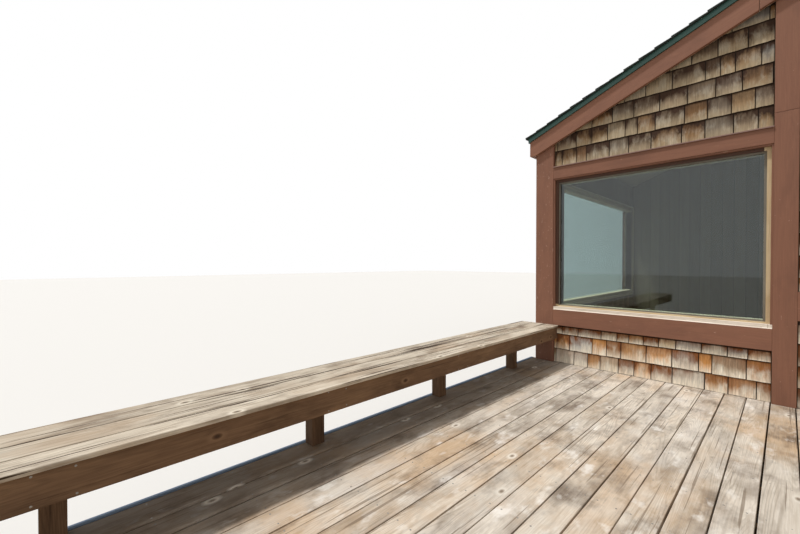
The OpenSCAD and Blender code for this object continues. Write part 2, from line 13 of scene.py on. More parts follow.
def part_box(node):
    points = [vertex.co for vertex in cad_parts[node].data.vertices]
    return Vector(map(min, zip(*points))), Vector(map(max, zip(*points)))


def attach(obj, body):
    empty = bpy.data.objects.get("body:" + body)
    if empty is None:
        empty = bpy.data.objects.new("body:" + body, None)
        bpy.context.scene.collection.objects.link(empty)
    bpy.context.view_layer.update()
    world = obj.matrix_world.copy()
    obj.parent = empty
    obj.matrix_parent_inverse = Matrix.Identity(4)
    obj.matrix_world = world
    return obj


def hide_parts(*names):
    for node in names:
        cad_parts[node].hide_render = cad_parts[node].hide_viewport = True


bl_info = {
    "name": "Beach House",
    "version": (1, 0, 0),
    "blender": (4, 5, 0),
    "location": "View3D > Sidebar > Beach House",
    "description": "Cedar shingled beach house with a timber deck and a built-in bench",
    "category": "Object",
}

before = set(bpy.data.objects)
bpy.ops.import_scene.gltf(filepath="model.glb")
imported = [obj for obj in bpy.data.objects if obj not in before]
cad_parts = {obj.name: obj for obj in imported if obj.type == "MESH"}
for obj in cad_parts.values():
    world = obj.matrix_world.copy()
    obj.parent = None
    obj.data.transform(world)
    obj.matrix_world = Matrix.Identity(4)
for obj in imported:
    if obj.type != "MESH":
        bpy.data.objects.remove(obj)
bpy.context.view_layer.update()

# Places that the frame gives, in metres
corner_low, corner_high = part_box("corner_boards")
X_SEA, Y_FRONT = corner_low.x, corner_low.y
X_LAND, Y_BACK = corner_high.x, corner_high.y
X_MID, Y_MID = (X_SEA + X_LAND) / 2, (Y_FRONT + Y_BACK) / 2
DECK_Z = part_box("deck_boards")[1].z
header_high, gable_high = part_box("seaward_wall_header")[1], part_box("front_wall_gable")[1]
ROOF_ANGLE = math.atan((gable_high.z - header_high.z) / (X_MID - header_high.x))

# Sizes that nobody would change by themselves, in metres
SHEATHING = 0.05  # the sheathing's depth behind the faces of the wall boards
DOOR_GAP = 0.003  # between the shingles and the door's boards
WALL_SHINGLE = (0.016, 0.006, 0.006)  # butt, tip, and how far the butt's back stands off the sheathing
ROOF_SHINGLE = (0.024, 0.008, 0.008)
WALL_PAPER, ROOF_PAPER = 0.001, 0.002  # the sheets under the shingles
ROOF_COURSE, ROOF_LAP, ROOF_KEYWAY = 0.145, 0.04, 0.003  # the roof tabs' spacing, overlap and gaps
ROOF_UNEVENNESS = 0.002  # the most that a tab's foot is above its line
CAP_LENGTH, CAP_THICK, CAP_DROP = 0.17, 0.007, 0.005  # a ridge cap, and how far it falls to its end
LEAST_SHINGLE = 0.018  # slivers smaller than this are left out
NAIL_WANDER, NAIL_HEIGHT = 0.004, 0.0016  # how far a head is off its place, and its height
SEAT_NAIL_INSET, APRON_NAIL_INSET = 0.03, 0.015  # from the edges of the seat boards and the aprons
SEAT_NAIL_SINK, APRON_NAIL_SINK = 0.0035, 0.001  # how deep the nails start under the boards' highest faces
BOARD_EASE = 0.003  # how far the boards' corners are worn off
SEAT_WAVE, SEAT_SEED = 0.0012, 90  # how far the seat boards' edges wander, and what chooses the way
SPLICE_HEIGHT, SPLICE_GAP = 2.42, 0.0016  # the post boards' joint, above the deck, and how open it is
RAKE_SPLICE, RAKE_GAP = 1.44, 0.002  # the rake boards' joint, out from the ridge, and how open it is
GLASS_DEPTH = 0.0655  # how far in from the board faces the beads by the glass begin
CASING_DEPTH = 0.086  # how far in the cream paint of the rooms begins
BEAD_HEIGHT = 0.027  # how high the lower bead stands over the sill
SUNNY_SIDE = 0.046  # the width of the side bead that the sun reaches
SILL_DEPTH = 0.07  # how far in the bleached sill goes
NEAR = 0.001  # how far past a seam a face's centre may still count

# Wall frames: X along the wall, Y inwards from the board faces, Z up
WALLS = {
    "front": Matrix.Translation((X_MID, Y_FRONT, 0)),
    "back": Matrix.Translation((X_MID, Y_BACK, 0)) @ Matrix.Rotation(math.pi, 4, "Z"),
    "seaward": Matrix.Translation((X_SEA, Y_MID, 0)) @ Matrix.Rotation(-math.pi / 2, 4, "Z"),
    "landward": Matrix.Translation((X_LAND, Y_MID, 0)) @ Matrix.Rotation(math.pi / 2, 4, "Z"),
}


def linear(hex_colour):
    """An sRGB hex colour as linear red, green, blue and alpha."""
    values = [int(hex_colour[i:i + 2], 16) / 255 for i in (1, 3, 5)]
    return (*[v / 12.92 if v <= 0.04045 else ((v + 0.055) / 1.055) ** 2.4 for v in values], 1.0)


def add(tree, kind, *values, out=0, **named):
    """Adds a node and returns one of its outputs in use, or all outputs when out is None. The kind
    leaves out its family, and its operation or data type may follow it. Values go to the inputs in
    use, in turn. Capitalised names are inputs too, and the other names are settings."""
    kind, _, mode = kind.partition(" ")
    families = ("ShaderNode", "GeometryNode", "FunctionNode", "Node")
    node = tree.nodes.new(next(family + kind for family in families if hasattr(bpy.types, family + kind)))
    if mode:
        setattr(node, "operation" if hasattr(node, "operation") else "data_type", mode)
    inputs = {}
    for name, value in named.items():
        if name[0].isupper():
            inputs[name.replace("_", " ")] = value
        else:
            setattr(node, name, value)
    inputs.update(zip([i for i, socket in enumerate(node.inputs) if socket.enabled], values))
    for key, value in inputs.items():
        if isinstance(value, bpy.types.NodeSocket):
            tree.links.new(value, node.inputs[key])
        else:
            node.inputs[key].default_value = value
    if out is None or isinstance(out, str):
        return node.outputs if out is None else node.outputs[out]
    used = [socket for socket in node.outputs if socket.enabled]
    return used[out] if used else None


# Sizes and colours

def length(name, default, what):
    return FloatProperty(name=name, description=what, default=default, unit="LENGTH")


def colour(name, hex_colour, what):
    return FloatVectorProperty(name=name, description=what, subtype="COLOR", size=3, min=0, max=1,
                               default=linear(hex_colour)[:3])


class ShingleSizes(bpy.types.PropertyGroup):
    least_width: length("Least width", 0.095, "Narrowest wall shingle")
    greatest_width: length("Greatest width", 0.25, "Widest wall shingle")
    keyway: length("Keyway", 0.0055, "Gap between two shingles of a course")
    lap: length("Lap", 0.03, "Part of a shingle under the next course")
    unevenness: length("Unevenness", 0.004, "Most that a butt sits above its line")
    roof_least_width: length("Roof least width", 0.11, "Narrowest roof shingle tab")
    roof_greatest_width: length("Roof greatest width", 0.3, "Widest roof shingle tab")
    seed: IntProperty(name="Seed", description="Chooses the widths", default=11)


class DeckSizes(bpy.types.PropertyGroup):
    edge: length("Edge radius", 0.0025, "Worn edge of a deck board")
    unevenness: length("Unevenness", 0.0015, "Most that a board lies under its level")
    wander: length("Wander", 0.0017, "Most that a board is off its place, which makes gaps uneven")
    nail_radius: length("Nail head radius", 0.0045, "Radius of a nail head")
    nail_inset: length("Nail inset", 0.027, "Nail's distance from a board's edge")
    seed: IntProperty(name="Seed", description="Chooses the boards' levels", default=5)


class FinishColours(bpy.types.PropertyGroup):
    cream: colour("Cream", "#d9cdaa", "Cream paint inside the rooms")
    drip: colour("Drip edge", "#22483f", "Green paint on the drip edge")
    roof: colour("Roof", "#2c322f", "Mineral surface of the roof shingles")
    concrete: colour("Concrete", "#a9a49a", "Cast concrete")


class StageSettings(bpy.types.PropertyGroup):
    camera: FloatVectorProperty(name="Camera", description="Where the camera stands", size=3,
                                default=(X_SEA + 2.142, Y_FRONT - 4.385, 1.830), subtype="XYZ", unit="LENGTH")
    yaw: FloatProperty(name="Yaw", description="Camera's turn to the left of the deck boards",
                       default=math.radians(46.1), subtype="ANGLE")
    pitch: FloatProperty(name="Pitch", description="Camera's tilt below level",
                         default=math.radians(0.65), subtype="ANGLE")
    lens: FloatProperty(name="Lens", description="Focal length in mm on a 36 mm sensor", default=16.74)
    key: FloatProperty(name="Key light", description="Strength of the soft key light", default=2.5)
    fill: FloatProperty(name="Fill light", description="Strength of the broad fill light", default=0.6)
    sky: FloatProperty(name="Surround", description="Strength of the even light all round", default=0.36)


# Meshes

def new_object(name, data):
    """A mesh, a lamp or a camera as an object of the scene."""
    piece = bpy.data.objects.new(name, data)
    bpy.context.scene.collection.objects.link(piece)
    return piece


def to_mesh(bm, name):
    mesh = bpy.data.meshes.new(name)
    bm.to_mesh(mesh)
    bm.free()
    return mesh


def gathered(meshes, bm=None):
    """Moves meshes with the same attributes into a bmesh, a new one where none is given."""
    if bm is None:
        bm = bmesh.new()
    for mesh in meshes:
        bm.from_mesh(mesh)
        bpy.data.meshes.remove(mesh)
    return bm


def island_labels(mesh):
    """Numbers the separate solids of a mesh, one label for each vertex."""
    ends = np.empty(len(mesh.edges) * 2, int)
    mesh.edges.foreach_get("vertices", ends)
    first, second = ends.reshape(-1, 2).T
    labels = np.arange(len(mesh.vertices))
    while True:
        low = np.minimum(labels[first], labels[second])
        linked = labels.copy()
        np.minimum.at(linked, first, low)
        np.minimum.at(linked, second, low)
        linked = linked[linked]
        if (linked == labels).all():
            return np.unique(labels, return_inverse=True)[1]
        labels = linked


def vertex_places(mesh):
    places = np.empty(len(mesh.vertices) * 3, np.float32)
    mesh.vertices.foreach_get("co", places)
    return places.reshape(-1, 3).astype(float)


def mark_boards(mesh, seed, axis=None, turn=None):
    """Gives each solid its own grain: a vector (across, depth, along) in metres, a tint, and how far
    along (rise) and across (reach) a point is, as shares. The grain runs along a solid's longest side,
    or along Z where an axis of 2 is given."""
    places = vertex_places(mesh)
    if turn is not None:
        places = places @ np.array(turn.to_3x3()).T
    labels = island_labels(mesh)
    count = labels.max() + 1
    low, high = np.full((count, 3), 1e9), np.full((count, 3), -1e9)
    np.minimum.at(low, labels, places)
    np.maximum.at(high, labels, places)
    size = high - low
    order = np.argsort(size, axis=1)[:, [1, 0, 2]] if axis is None else np.array([[0, 1, 2]] * count)
    random = np.random.default_rng(seed)
    grain = np.take_along_axis(places - low[labels], order[labels], axis=1)
    shares = grain / np.maximum(np.take_along_axis(size, order, axis=1)[labels], 1e-6)
    grain += random.uniform(0, 40, (count, 3))[labels]
    tint = random.uniform(0, 1, count)[labels]
    for name, kind, values in (("grain", "FLOAT_VECTOR", grain), ("tint", "FLOAT", tint),
                               ("rise", "FLOAT", shares[:, 2]), ("reach", "FLOAT", shares[:, 0])):
        field = mesh.attributes.get(name) or mesh.attributes.new(name, kind, "POINT")
        entry = "vector" if kind == "FLOAT_VECTOR" else "value"
        field.data.foreach_set(entry, values.astype(np.float32).ravel())


def parts_of(bm):
    return bm.verts[:] + bm.edges[:] + bm.faces[:]


def cut_back(bm, point, normal):
    """Cuts away what lies past a plane and closes the cut faces."""
    cut = bmesh.ops.bisect_plane(bm, geom=parts_of(bm), plane_co=point, plane_no=normal, clear_outer=True)
    edges = [e for e in cut["geom_cut"] if isinstance(e, bmesh.types.BMEdge) and e.is_boundary]
    bmesh.ops.holes_fill(bm, edges=edges, sides=0)


def node_solids(node):
    """A node's merged copy, with its flat faces whole."""
    bm = bmesh.new()
    bm.from_mesh(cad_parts[node].data)
    bmesh.ops.remove_doubles(bm, verts=bm.verts, dist=1e-5)
    bmesh.ops.dissolve_limit(bm, angle_limit=math.radians(0.5), verts=bm.verts, edges=bm.edges)
    return bm


def solid_places(node, to_local=Matrix()):
    """The vertex places of each solid of a node, in another frame where one is given."""
    mesh = to_mesh(node_solids(node), node)
    places = vertex_places(mesh) @ np.array(to_local.to_3x3()).T + np.array(to_local.translation)
    labels = island_labels(mesh)
    bpy.data.meshes.remove(mesh)
    return [places[labels == label] for label in range(labels.max() + 1)]


def solid_boxes(node, to_local=Matrix()):
    """The lowest and highest corners of each solid of a node."""
    return [(places.min(0), places.max(0)) for places in solid_places(node, to_local)]


def ease_edges(bm, width, segments=2):
    sharp = [e for e in bm.edges if len(e.link_faces) == 2 and e.calc_face_angle() > math.radians(25)]
    bmesh.ops.bevel(bm, geom=sharp, offset=width, segments=segments, profile=0.5, affect="EDGES",
                    clamp_overlap=True)


def block(bm, low, high, place=Matrix()):
    """Adds a closed box, given by its corners before it is put in its place."""
    centre, size = (Vector(low) + Vector(high)) / 2, Vector(high) - Vector(low)
    for v in bmesh.ops.create_cube(bm, size=1)["verts"]:
        v.co = place @ Vector(centre[i] + v.co[i] * size[i] for i in range(3))


def bridged(bm, rings):
    """Joins each ring of vertices to the next with faces."""
    for a, b in zip(rings, rings[1:]):
        for i in range(len(a)):
            j = (i + 1) % len(a)
            bm.faces.new((a[i], b[i], b[j], a[j]))


def turned(bm, profile, place, steps):
    """Adds a closed solid of revolution about Z from a profile of radius and height."""
    angles = [2 * math.pi * i / steps for i in range(steps)]
    rings = [[bm.verts.new(place @ Vector((radius * math.cos(a), radius * math.sin(a), height)))
              for a in (angles if radius else angles[:1])] for radius, height in profile]
    for a, b in zip(rings, rings[1:]):
        for i in range(steps):
            corners = [a[i % len(a)], a[(i + 1) % len(a)], b[(i + 1) % len(b)], b[i % len(b)]]
            bm.faces.new(list(dict.fromkeys(corners)))
    for end in (rings[0][::-1], rings[-1]):
        if len(end) > 1:
            bm.faces.new(end)


def dress(name, bm, finish, slot, *nodes, seed=None, axis=None):
    """A finished piece from a bmesh: its grain where a seed is given, its finish, its body and the
    nodes that it stands for."""
    mesh = to_mesh(bm, name)
    if seed is not None:
        mark_boards(mesh, seed, axis)
    mesh.materials.clear()  # which also resets the material numbers that a tree leaves on its faces
    mesh.materials.append(finishes()[finish])
    piece = new_object(name, mesh)
    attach(piece, "root")
    if nodes:
        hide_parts(*nodes)
    return piece


def finish_nodes(finish, *nodes):
    """Gives a finish to nodes that are kept as they are."""
    for node in nodes:
        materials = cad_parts[node].data.materials
        materials.clear()
        materials.append(finishes()[finish])


# Patterns that repeat

def grown(tree, bm, finish, **values):
    """Runs a tree on a shape and returns the plain mesh that it makes. Values are the tree's inputs."""
    holder = new_object("holder", to_mesh(bm, "shape"))
    modifier = holder.modifiers.new("Grow", "NODES")
    modifier.node_group = tree
    values["Material"] = finishes()[finish]
    for item in tree.interface.items_tree:
        if item.in_out == "INPUT" and item.name.replace(" ", "_") in values:
            modifier[item.identifier] = values[item.name.replace(" ", "_")]
    evaluated = holder.evaluated_get(bpy.context.evaluated_depsgraph_get())
    result = bpy.data.meshes.new_from_object(evaluated)
    bpy.data.objects.remove(holder)
    return result


def new_tree(name, sizes, counts):
    """A geometry node tree with named inputs, the function that adds to it, and its inputs' outputs."""
    tree = bpy.data.node_groups.new(name, "GeometryNodeTree")
    tree.interface.new_socket("Geometry", in_out="OUTPUT", socket_type="NodeSocketGeometry")
    for kind, labels in (("Geometry", ["Geometry"]), ("Float", sizes), ("Int", counts),
                         ("Material", ["Material"])):
        for label in labels:
            tree.interface.new_socket(label, in_out="INPUT", socket_type="NodeSocket" + kind)
    return tree, partial(add, tree), add(tree, "GroupInput", out=None)


def repeat(node, given, points, **how):
    """Ends a tree: the given shape on each point, as one plain mesh with the given material."""
    copies = node("InstanceOnPoints", Points=points, Instance=given["Geometry"], **how)
    solid = node("RealizeInstances", copies)
    node("GroupOutput", node("SetMaterial", Geometry=solid, Material=given["Material"]))


def shingle_tree():
    """Courses of shingles in random widths: points in rows, each with its width added up along its row."""
    tree, node, given = new_tree("Shingle courses", (
        "Width", "Height", "First course", "Course", "Lap", "Least width", "Greatest width", "Keyway",
        "Unevenness"), ["Seed"])
    index, course, seed = node("InputIndex"), given["Course"], given["Seed"]
    per_row = node("Math ADD", node("Math DIVIDE", given["Width"], given["Least width"]), 3.0)
    per_row = node("Math CEIL", per_row)
    above = node("Math SUBTRACT", given["Height"], given["First course"])
    rows = node("Math CEIL", node("Math ADD", node("Math DIVIDE", above, course), 1.0))
    points = node("Points", node("Math MULTIPLY", per_row, rows))
    row = node("Math FLOOR", node("Math DIVIDE", node("Math ADD", index, 0.5), per_row))
    width = node("RandomValue", given["Least width"], given["Greatest width"], index, seed)
    shift = node("RandomValue", 0.0, given["Greatest width"], row, node("Math ADD", seed, 7.0))
    start = node("Math SUBTRACT", node("AccumulateField", width, row, out=1), shift)
    left = node("Math MAXIMUM", start, 0.0)
    right = node("Math MINIMUM", node("Math ADD", start, width), given["Width"])
    across = node("Math SUBTRACT", right, left)
    upper = node("Math MULTIPLY_ADD", row, course, given["First course"])
    lower = node("Math MAXIMUM", node("Math SUBTRACT", upper, course), 0.0)
    lower = node("Math ADD", lower, node(
        "RandomValue", 0.0, given["Unevenness"], index, node("Math ADD", seed, 13.0)))
    top = node("Math MINIMUM", node("Math ADD", upper, given["Lap"]), given["Height"])
    height = node("Math SUBTRACT", top, lower)
    middle = node("Math MULTIPLY", node("Math ADD", left, right), 0.5)
    placed = node("SetPosition", points, Position=node("CombineXYZ", middle, 0.0, lower))
    kept = node("Compare GREATER_THAN", node("Math MINIMUM", across, height), LEAST_SHINGLE)
    thickness = node("RandomValue", 0.8, 1.0, index, node("Math ADD", seed, 29.0))
    size = node("CombineXYZ", node("Math SUBTRACT", across, given["Keyway"]), thickness, height)
    repeat(node, given, placed, Selection=kept, Scale=size)
    return tree


def row_tree():
    """Copies along X at a pitch, each a little lower than its level and off its place by a random amount."""
    tree, node, given = new_tree("Board row", ("Pitch", "Unevenness", "Wander"), ("Count", "Seed"))
    line = node("MeshLine", Count=given["Count"], Offset=node("CombineXYZ", given["Pitch"]))
    down = node("Math MULTIPLY", node("RandomValue", 0.0, given["Unevenness"], Seed=given["Seed"]), -1.0)
    aside = node("RandomValue", node("Math MULTIPLY", given["Wander"], -1.0), given["Wander"],
                 Seed=node("Math ADD", given["Seed"], 17.0))
    repeat(node, given, node("SetPosition", line, Offset=node("CombineXYZ", aside, 0.0, down)))
    return tree


def nail_tree():
    """Nail heads in pairs: a pair for each board, repeated in rows, each set a little off its place."""
    tree, node, given = new_tree("Nail rows", ("Board pitch", "Pair", "Row pitch", "Wander"),
                                 ("Boards", "Rows", "Seed"))
    index, wander = node("InputIndex"), given["Wander"]
    each = node("Math MULTIPLY", given["Rows"], 2.0)
    points = node("Points", node("Math MULTIPLY", each, given["Boards"]))
    board = node("Math FLOOR", node("Math DIVIDE", node("Math ADD", index, 0.5), each))
    within = node("Math MODULO", index, each)
    row = node("Math FLOOR", node("Math MULTIPLY", within, 0.5))
    side = node("Math MODULO", within, 2.0)
    x = node("Math MULTIPLY_ADD", side, given["Pair"], node("Math MULTIPLY", board, given["Board pitch"]))
    y = node("Math MULTIPLY", row, given["Row pitch"])
    low = node("Math MULTIPLY", wander, -1.0)
    off = node("RandomValue FLOAT_VECTOR", node("CombineXYZ", low, low), node("CombineXYZ", wander, wander),
               Seed=given["Seed"])
    repeat(node, given, node("SetPosition", points, Position=node("CombineXYZ", x, y), Offset=off))
    return tree


# Finishes

def new_material(name):
    """An empty material and the function that adds to it."""
    material = bpy.data.materials.new(name)
    material.use_nodes = True
    material.node_tree.nodes.clear()
    return material, partial(add, material.node_tree)


def surface(node, base, rough, height=None, depth_mm=1.0, strength=0.5, **more):
    """The shader and the output, with an optional bump whose height is in millimetres."""
    if height is not None:
        more["Normal"] = node("Bump", Height=height, Distance=depth_mm / 1000, Strength=strength)
    node("OutputMaterial", node("BsdfPrincipled", Base_Color=base, Roughness=rough, **more))


def drawn_out(node, grain, along, scale, detail=3.0, rough=0.6, twist=0.0):
    """A noise that is stretched along the grain."""
    vector = node("VectorMath MULTIPLY", grain, (1.0, 1.0, along))
    return node("TexNoise", Vector=vector, Scale=scale, Detail=detail, Roughness=rough, Distortion=twist)


def covered(node, base, hex_colour, pattern, low, high, most, least=0.0):
    """Lays a colour over another, more of it the further a pattern goes from low to high."""
    share = node("MapRange", pattern, low, high, least, most)
    return node("Mix RGBA", share, base, linear(hex_colour))


def clouded(node, place, base_colour, least, most, **clouds):
    """A colour that soft clouds make darker and lighter, and the clouds."""
    cloud = node("TexNoise", Vector=place, **clouds)
    level = node("MapRange", cloud, 0.3, 0.7, least, most)
    return node("VectorMath SCALE", tuple(base_colour), level), cloud


def speckled(name, scale, detail, first, second, rough, depth_mm, strength=0.5, **more):
    """A finish of two colours that a fine noise mixes, and roughens."""
    material, node = new_material(name)
    grit = node("TexNoise", Vector=node("TexCoord", out="Object"), Scale=scale, Detail=detail)
    tone = node("Mix RGBA", grit, linear(first), linear(second))
    surface(node, tone, rough, grit, depth_mm, strength, **more)
    return material


def wood(name, pale, middle, dark, streak=0.6, figure=0.3, ring_mm=9, blotch=None, blotches=0.4, warm=None,
         warmth=0.5, knots=0.0, checks=0.0, crack=0.65, worn=0.0, chips=0.0, spread=0.06, rough=0.8,
         depth_mm=1.0):
    """Sawn lumber. Its grain runs along each board: fine streaks, growth rings cut at a slant, soft weather
    stains and warm and dark patches, knots and drying checks, at the sizes that the real boards show. Worn
    lumber also has wear and spills that cross its boards, and painted shade under the bench."""
    material, node = new_material(name)
    grain = node("Attribute", out="Vector", attribute_name="grain")
    tint = node("Attribute", out="Fac", attribute_name="tint")
    drawn, cover = partial(drawn_out, node, grain), partial(covered, node)
    # Streaks, 3 to 6 mm wide and a fifth of a metre long, turn the middle tone to the pale one
    streaks = drawn(0.03, 150.0, 4.0, 0.65)
    base = cover(linear(middle), pale, streaks, 0.32, 0.68, 0.5 + streak / 2, 0.5 - streak / 2)
    # Rings: contours of a noise that is stretched fifteen times along the board
    rings = node("Math SINE", node("Math MULTIPLY", drawn(0.065, 7.0, 1.0, 0.4), 2200.0 / ring_mm))
    rings = node("Math MULTIPLY", node("MapRange", rings, 0.1, 1.0, 0.0, figure),
                 node("MapRange", drawn(0.2, 5.0, 2.0), 0.42, 0.56, 0.25, 1.0))
    base = node("Mix RGBA", rings, base, linear(dark))
    height = node("Math SUBTRACT", streaks, rings)
    if warm:
        base = cover(base, warm, drawn(0.4, 2.9, 4.0), 0.5, 0.66, warmth)
    if blotch:
        base = cover(base, blotch, drawn(0.42, 5.2, 7.0, 0.62, 0.5), 0.47, 0.68, blotches)
        base = cover(base, blotch, drawn(0.16, 26.0, 3.0), 0.52, 0.74, blotches * 0.5)
    if worn:
        # Trodden tan areas a metre long, brown stains 100 mm across, and whitened patches and marks
        place = node("TexCoord", out="Object")
        tan, stains = (node("TexNoise", Vector=place, Scale=scale, Detail=detail, Roughness=0.62)
                       for scale, detail in ((1.25, 7.0), (3.6, 6.0)))
        base = cover(base, warm, tan, 0.49, 0.64, worn * 0.9)
        base = cover(base, "#e6dfd6", drawn(0.3, 3.4, 5.0), 0.5, 0.72, worn * 0.8)
        stains = node("Math ADD", stains, drawn(0.3, 5.0, 6.0, 0.62))
        stains = node("Math MULTIPLY_ADD", streaks, 0.4, stains)
        base = cover(base, "#635040", stains, 1.2, 1.48, worn * 1.2)
        base = cover(base, "#f2ece3", drawn(0.5, 10.0, 4.0, 0.6), 0.59, 0.72, worn)
        # Painted shade: the boards under the bench and a little past it are darker and browner, where the
        # bench's shadow falls
        base = cover(base, "#5f4d3c", node("SeparateXYZ", place, out="X"), X_SEA + 0.5, X_SEA + 0.28, 0.62)
    if knots:
        # Knots 25 mm wide on a share of the cells of a loose pattern, each with a pale ring round it
        flat = node("SeparateXYZ", node("VectorMath MULTIPLY", grain, (4.2, 4.2, 2.4)), out=None)
        spot = node("TexVoronoi", Vector=node("CombineXYZ", flat[0], flat[2]), Scale=1.0, out=None,
                    voronoi_dimensions="2D")
        chosen = node("Math LESS_THAN", node("SeparateColor", spot["Color"]), knots)
        for tone, inner, outer, most in ((pale, 0.07, 0.13, 0.85), (middle, 0.05, 0.065, 0.9),
                                         (dark, 0.02, 0.05, 0.75)):
            area = node("MapRange", spot["Distance"], inner, outer, most, 0.0)
            base = node("Mix RGBA", node("Math MULTIPLY", area, chosen), base, linear(tone))
    if checks:
        split = node("MapRange", drawn(0.018, 62.0, 2.0, 0.5), crack, crack + 0.025, 0.0, checks)
        base = node("Mix RGBA", split, base, linear(dark))
        height = node("Math SUBTRACT", height, split)
    if chips:
        # Stain flaked off in spots of 2 to 8 mm, most of them along the boards' edges
        reach = node("Attribute", out="Fac", attribute_name="reach")
        edge = node("Math ABSOLUTE", node("Math SUBTRACT", reach, 0.5))
        flakes = node("Math ADD", drawn(0.35, 60.0, 3.0), node("MapRange", edge, 0.46, 0.5, 0.0, 0.05))
        base = cover(base, "#b99a86", flakes, 0.7, 0.73, chips)
    level = node("MapRange", tint, To_Min=1.0 - spread, To_Max=1.0 + spread)
    base = node("VectorMath SCALE", base, level)
    surface(node, base, rough, height, depth_mm, Specular_IOR_Level=0.25)
    return material


def cedar_shingles():
    """Sawn cedar, left to weather. Each shingle has its own tone, from golden and orange brown to silver
    grey. It is darker and redder at its top and its sides, where oil bleeds out under the next course, and
    its top is darker too as painted shade of the butt above. It is pale towards its butt, partly worn and
    partly painted sunlight, with upright streaks. The courses get darker and browner with height, as painted
    shade under the rakes and the eaves, and lighter near the deck, as painted sunlight."""
    material, node = new_material("Weathered sawn cedar")
    grain = node("Attribute", out="Vector", attribute_name="grain")
    tint, rise, reach = (node("Attribute", out="Fac", attribute_name=name)
                         for name in ("tint", "rise", "reach"))
    place = node("TexCoord", out=None)
    tone = node("ValToRGB", tint)
    ramp = tone.node.color_ramp.elements
    ramp[0].color, ramp[1].color = linear("#a67d54"), linear("#ddccb0")
    for step, shade in ((0.12, "#cba67a"), (0.23, "#b0a390"), (0.34, "#9a6a3e"), (0.44, "#dcc8a6"),
                        (0.54, "#7f6956"), (0.64, "#c58d50"), (0.74, "#c4bbac"), (0.84, "#86603f"),
                        (0.92, "#a5a39e")):
        ramp.new(step).color = linear(shade)
    streaks = drawn_out(node, grain, 0.05, 100.0, 4.0, 0.7)
    patches = drawn_out(node, grain, 0.4, 13.0, 4.0, 0.62)
    up = node("SeparateXYZ", place["Object"], out="Z")
    # Painted light and shade by height: the courses high up under the rakes and the eaves are shaded, and
    # those near the deck are lit
    painted_height_shade = node("MapRange", node("Math MULTIPLY_ADD", patches, 1.4, up), 2.2, 3.7)
    # Oil bleeds down from the top and in from the sides, in ragged upright tongues. The darkening from the
    # top is also painted shade of the butt above
    off_middle = node("Math ABSOLUTE", node("Math SUBTRACT", reach, 0.5))
    bleed_and_butt_shade = node("Math ADD", node("MapRange", rise, 0.2, 0.78, -0.12, 1.0),
                 node("MapRange", off_middle, 0.28, 0.5, 0.0, 0.6))
    bleed_and_butt_shade = node("Math MULTIPLY", bleed_and_butt_shade, node("MapRange", patches, 0.34, 0.62, 0.2, 1.25))
    oily = node("MapRange", node("Math FRACT", node("Math MULTIPLY", tint, 9.7)), To_Min=0.4, To_Max=1.35)
    bleed_and_butt_shade = node("Math MULTIPLY", bleed_and_butt_shade, oily, use_clamp=True)
    # The bleed and the courses high up are darkened further: painted shade
    base = node("Mix RGBA", bleed_and_butt_shade, tone, node("Mix RGBA", painted_height_shade, linear("#76492a"), linear("#463024")))
    base = node("Mix RGBA", node("Math MULTIPLY", painted_height_shade, 0.35), base, linear("#4e3b2c"))
    # Rain leaves silver patches on some shingles. Each foot is pale, partly from wear and partly as painted
    # sunlight below the shade of the butt above
    silver = node("Math MULTIPLY", node("MapRange", patches, 0.52, 0.36, 0.0, 0.75),
                  node("MapRange", rise, 0.7, 0.3))
    base = node("Mix RGBA", silver, base, linear("#bfbaae"))
    worn_and_sunlit_foot = node("MapRange", node("Math MULTIPLY_ADD", patches, 0.8, rise), 0.38, 0.88, 0.78, 0.0)
    base = node("Mix RGBA", worn_and_sunlit_foot, base, node("Mix RGBA", painted_height_shade, linear("#e9ddc8"), linear("#cdb794")))
    # The streaks, and painted light and shade: brighter low on the wall, darker high up
    level = node("Math MULTIPLY", node("MapRange", streaks, 0.34, 0.66, 0.7, 1.12),
                 node("MapRange", painted_height_shade, To_Min=1.22, To_Max=0.8))
    base = node("VectorMath SCALE", base, level)
    # Painted shade: dark on the edges in the keyways, on the undersides, and close under a butt
    down = node("SeparateXYZ", place["Normal"], out="Z")
    painted_crevice_shade = node("Math MAXIMUM", node("MapRange", down, -0.3, -0.8, 0.0, 0.92),
                 node("MapRange", rise, 0.785, 0.84, 0.0, 0.9))
    painted_crevice_shade = node("Math MAXIMUM", painted_crevice_shade, node("MapRange", off_middle, 0.486, 0.498, 0.0, 0.85))
    base = node("Mix RGBA", painted_crevice_shade, base, linear("#281a11"))
    surface(node, base, 0.85, streaks, 1.2, 0.6, Specular_IOR_Level=0.2)
    return material


def mineral_shingles(base_colour):
    """Asphalt shingles with crushed mineral: a dark speckle of 2 mm grains, drawn 4 mm wide to show."""
    material, node = new_material("Mineral surfaced asphalt")
    place = node("TexCoord", out="Object")
    grit = node("TexVoronoi", Vector=place, Scale=250.0, out=None)
    level = node("MapRange", node("SeparateColor", grit["Color"]), To_Min=0.55, To_Max=1.5)
    base = node("VectorMath SCALE", tuple(base_colour), level)
    moss = node("TexNoise", Vector=place, Scale=1.7, Detail=5.0, Roughness=0.65)
    base = covered(node, base, "#3d4a40", moss, 0.45, 0.75, 0.5)
    tint = node("Attribute", out="Fac", attribute_name="tint")
    base = node("VectorMath SCALE", base, node("MapRange", tint, To_Min=0.7, To_Max=1.45))
    surface(node, base, 0.92, grit["Distance"], 1.0, 0.5, Specular_IOR_Level=0.3)
    return material


def painted_steel(name, base_colour, rough=0.45):
    """Bent sheet steel with a factory coat: even, slightly chalked, a little gloss left."""
    material, node = new_material(name)
    place = node("TexCoord", out="Object")
    base, chalk = clouded(node, place, base_colour, 0.85, 1.2, Scale=9.0, Detail=6.0, Roughness=0.7)
    surface(node, base, rough, chalk, 0.3, 0.2)
    return material


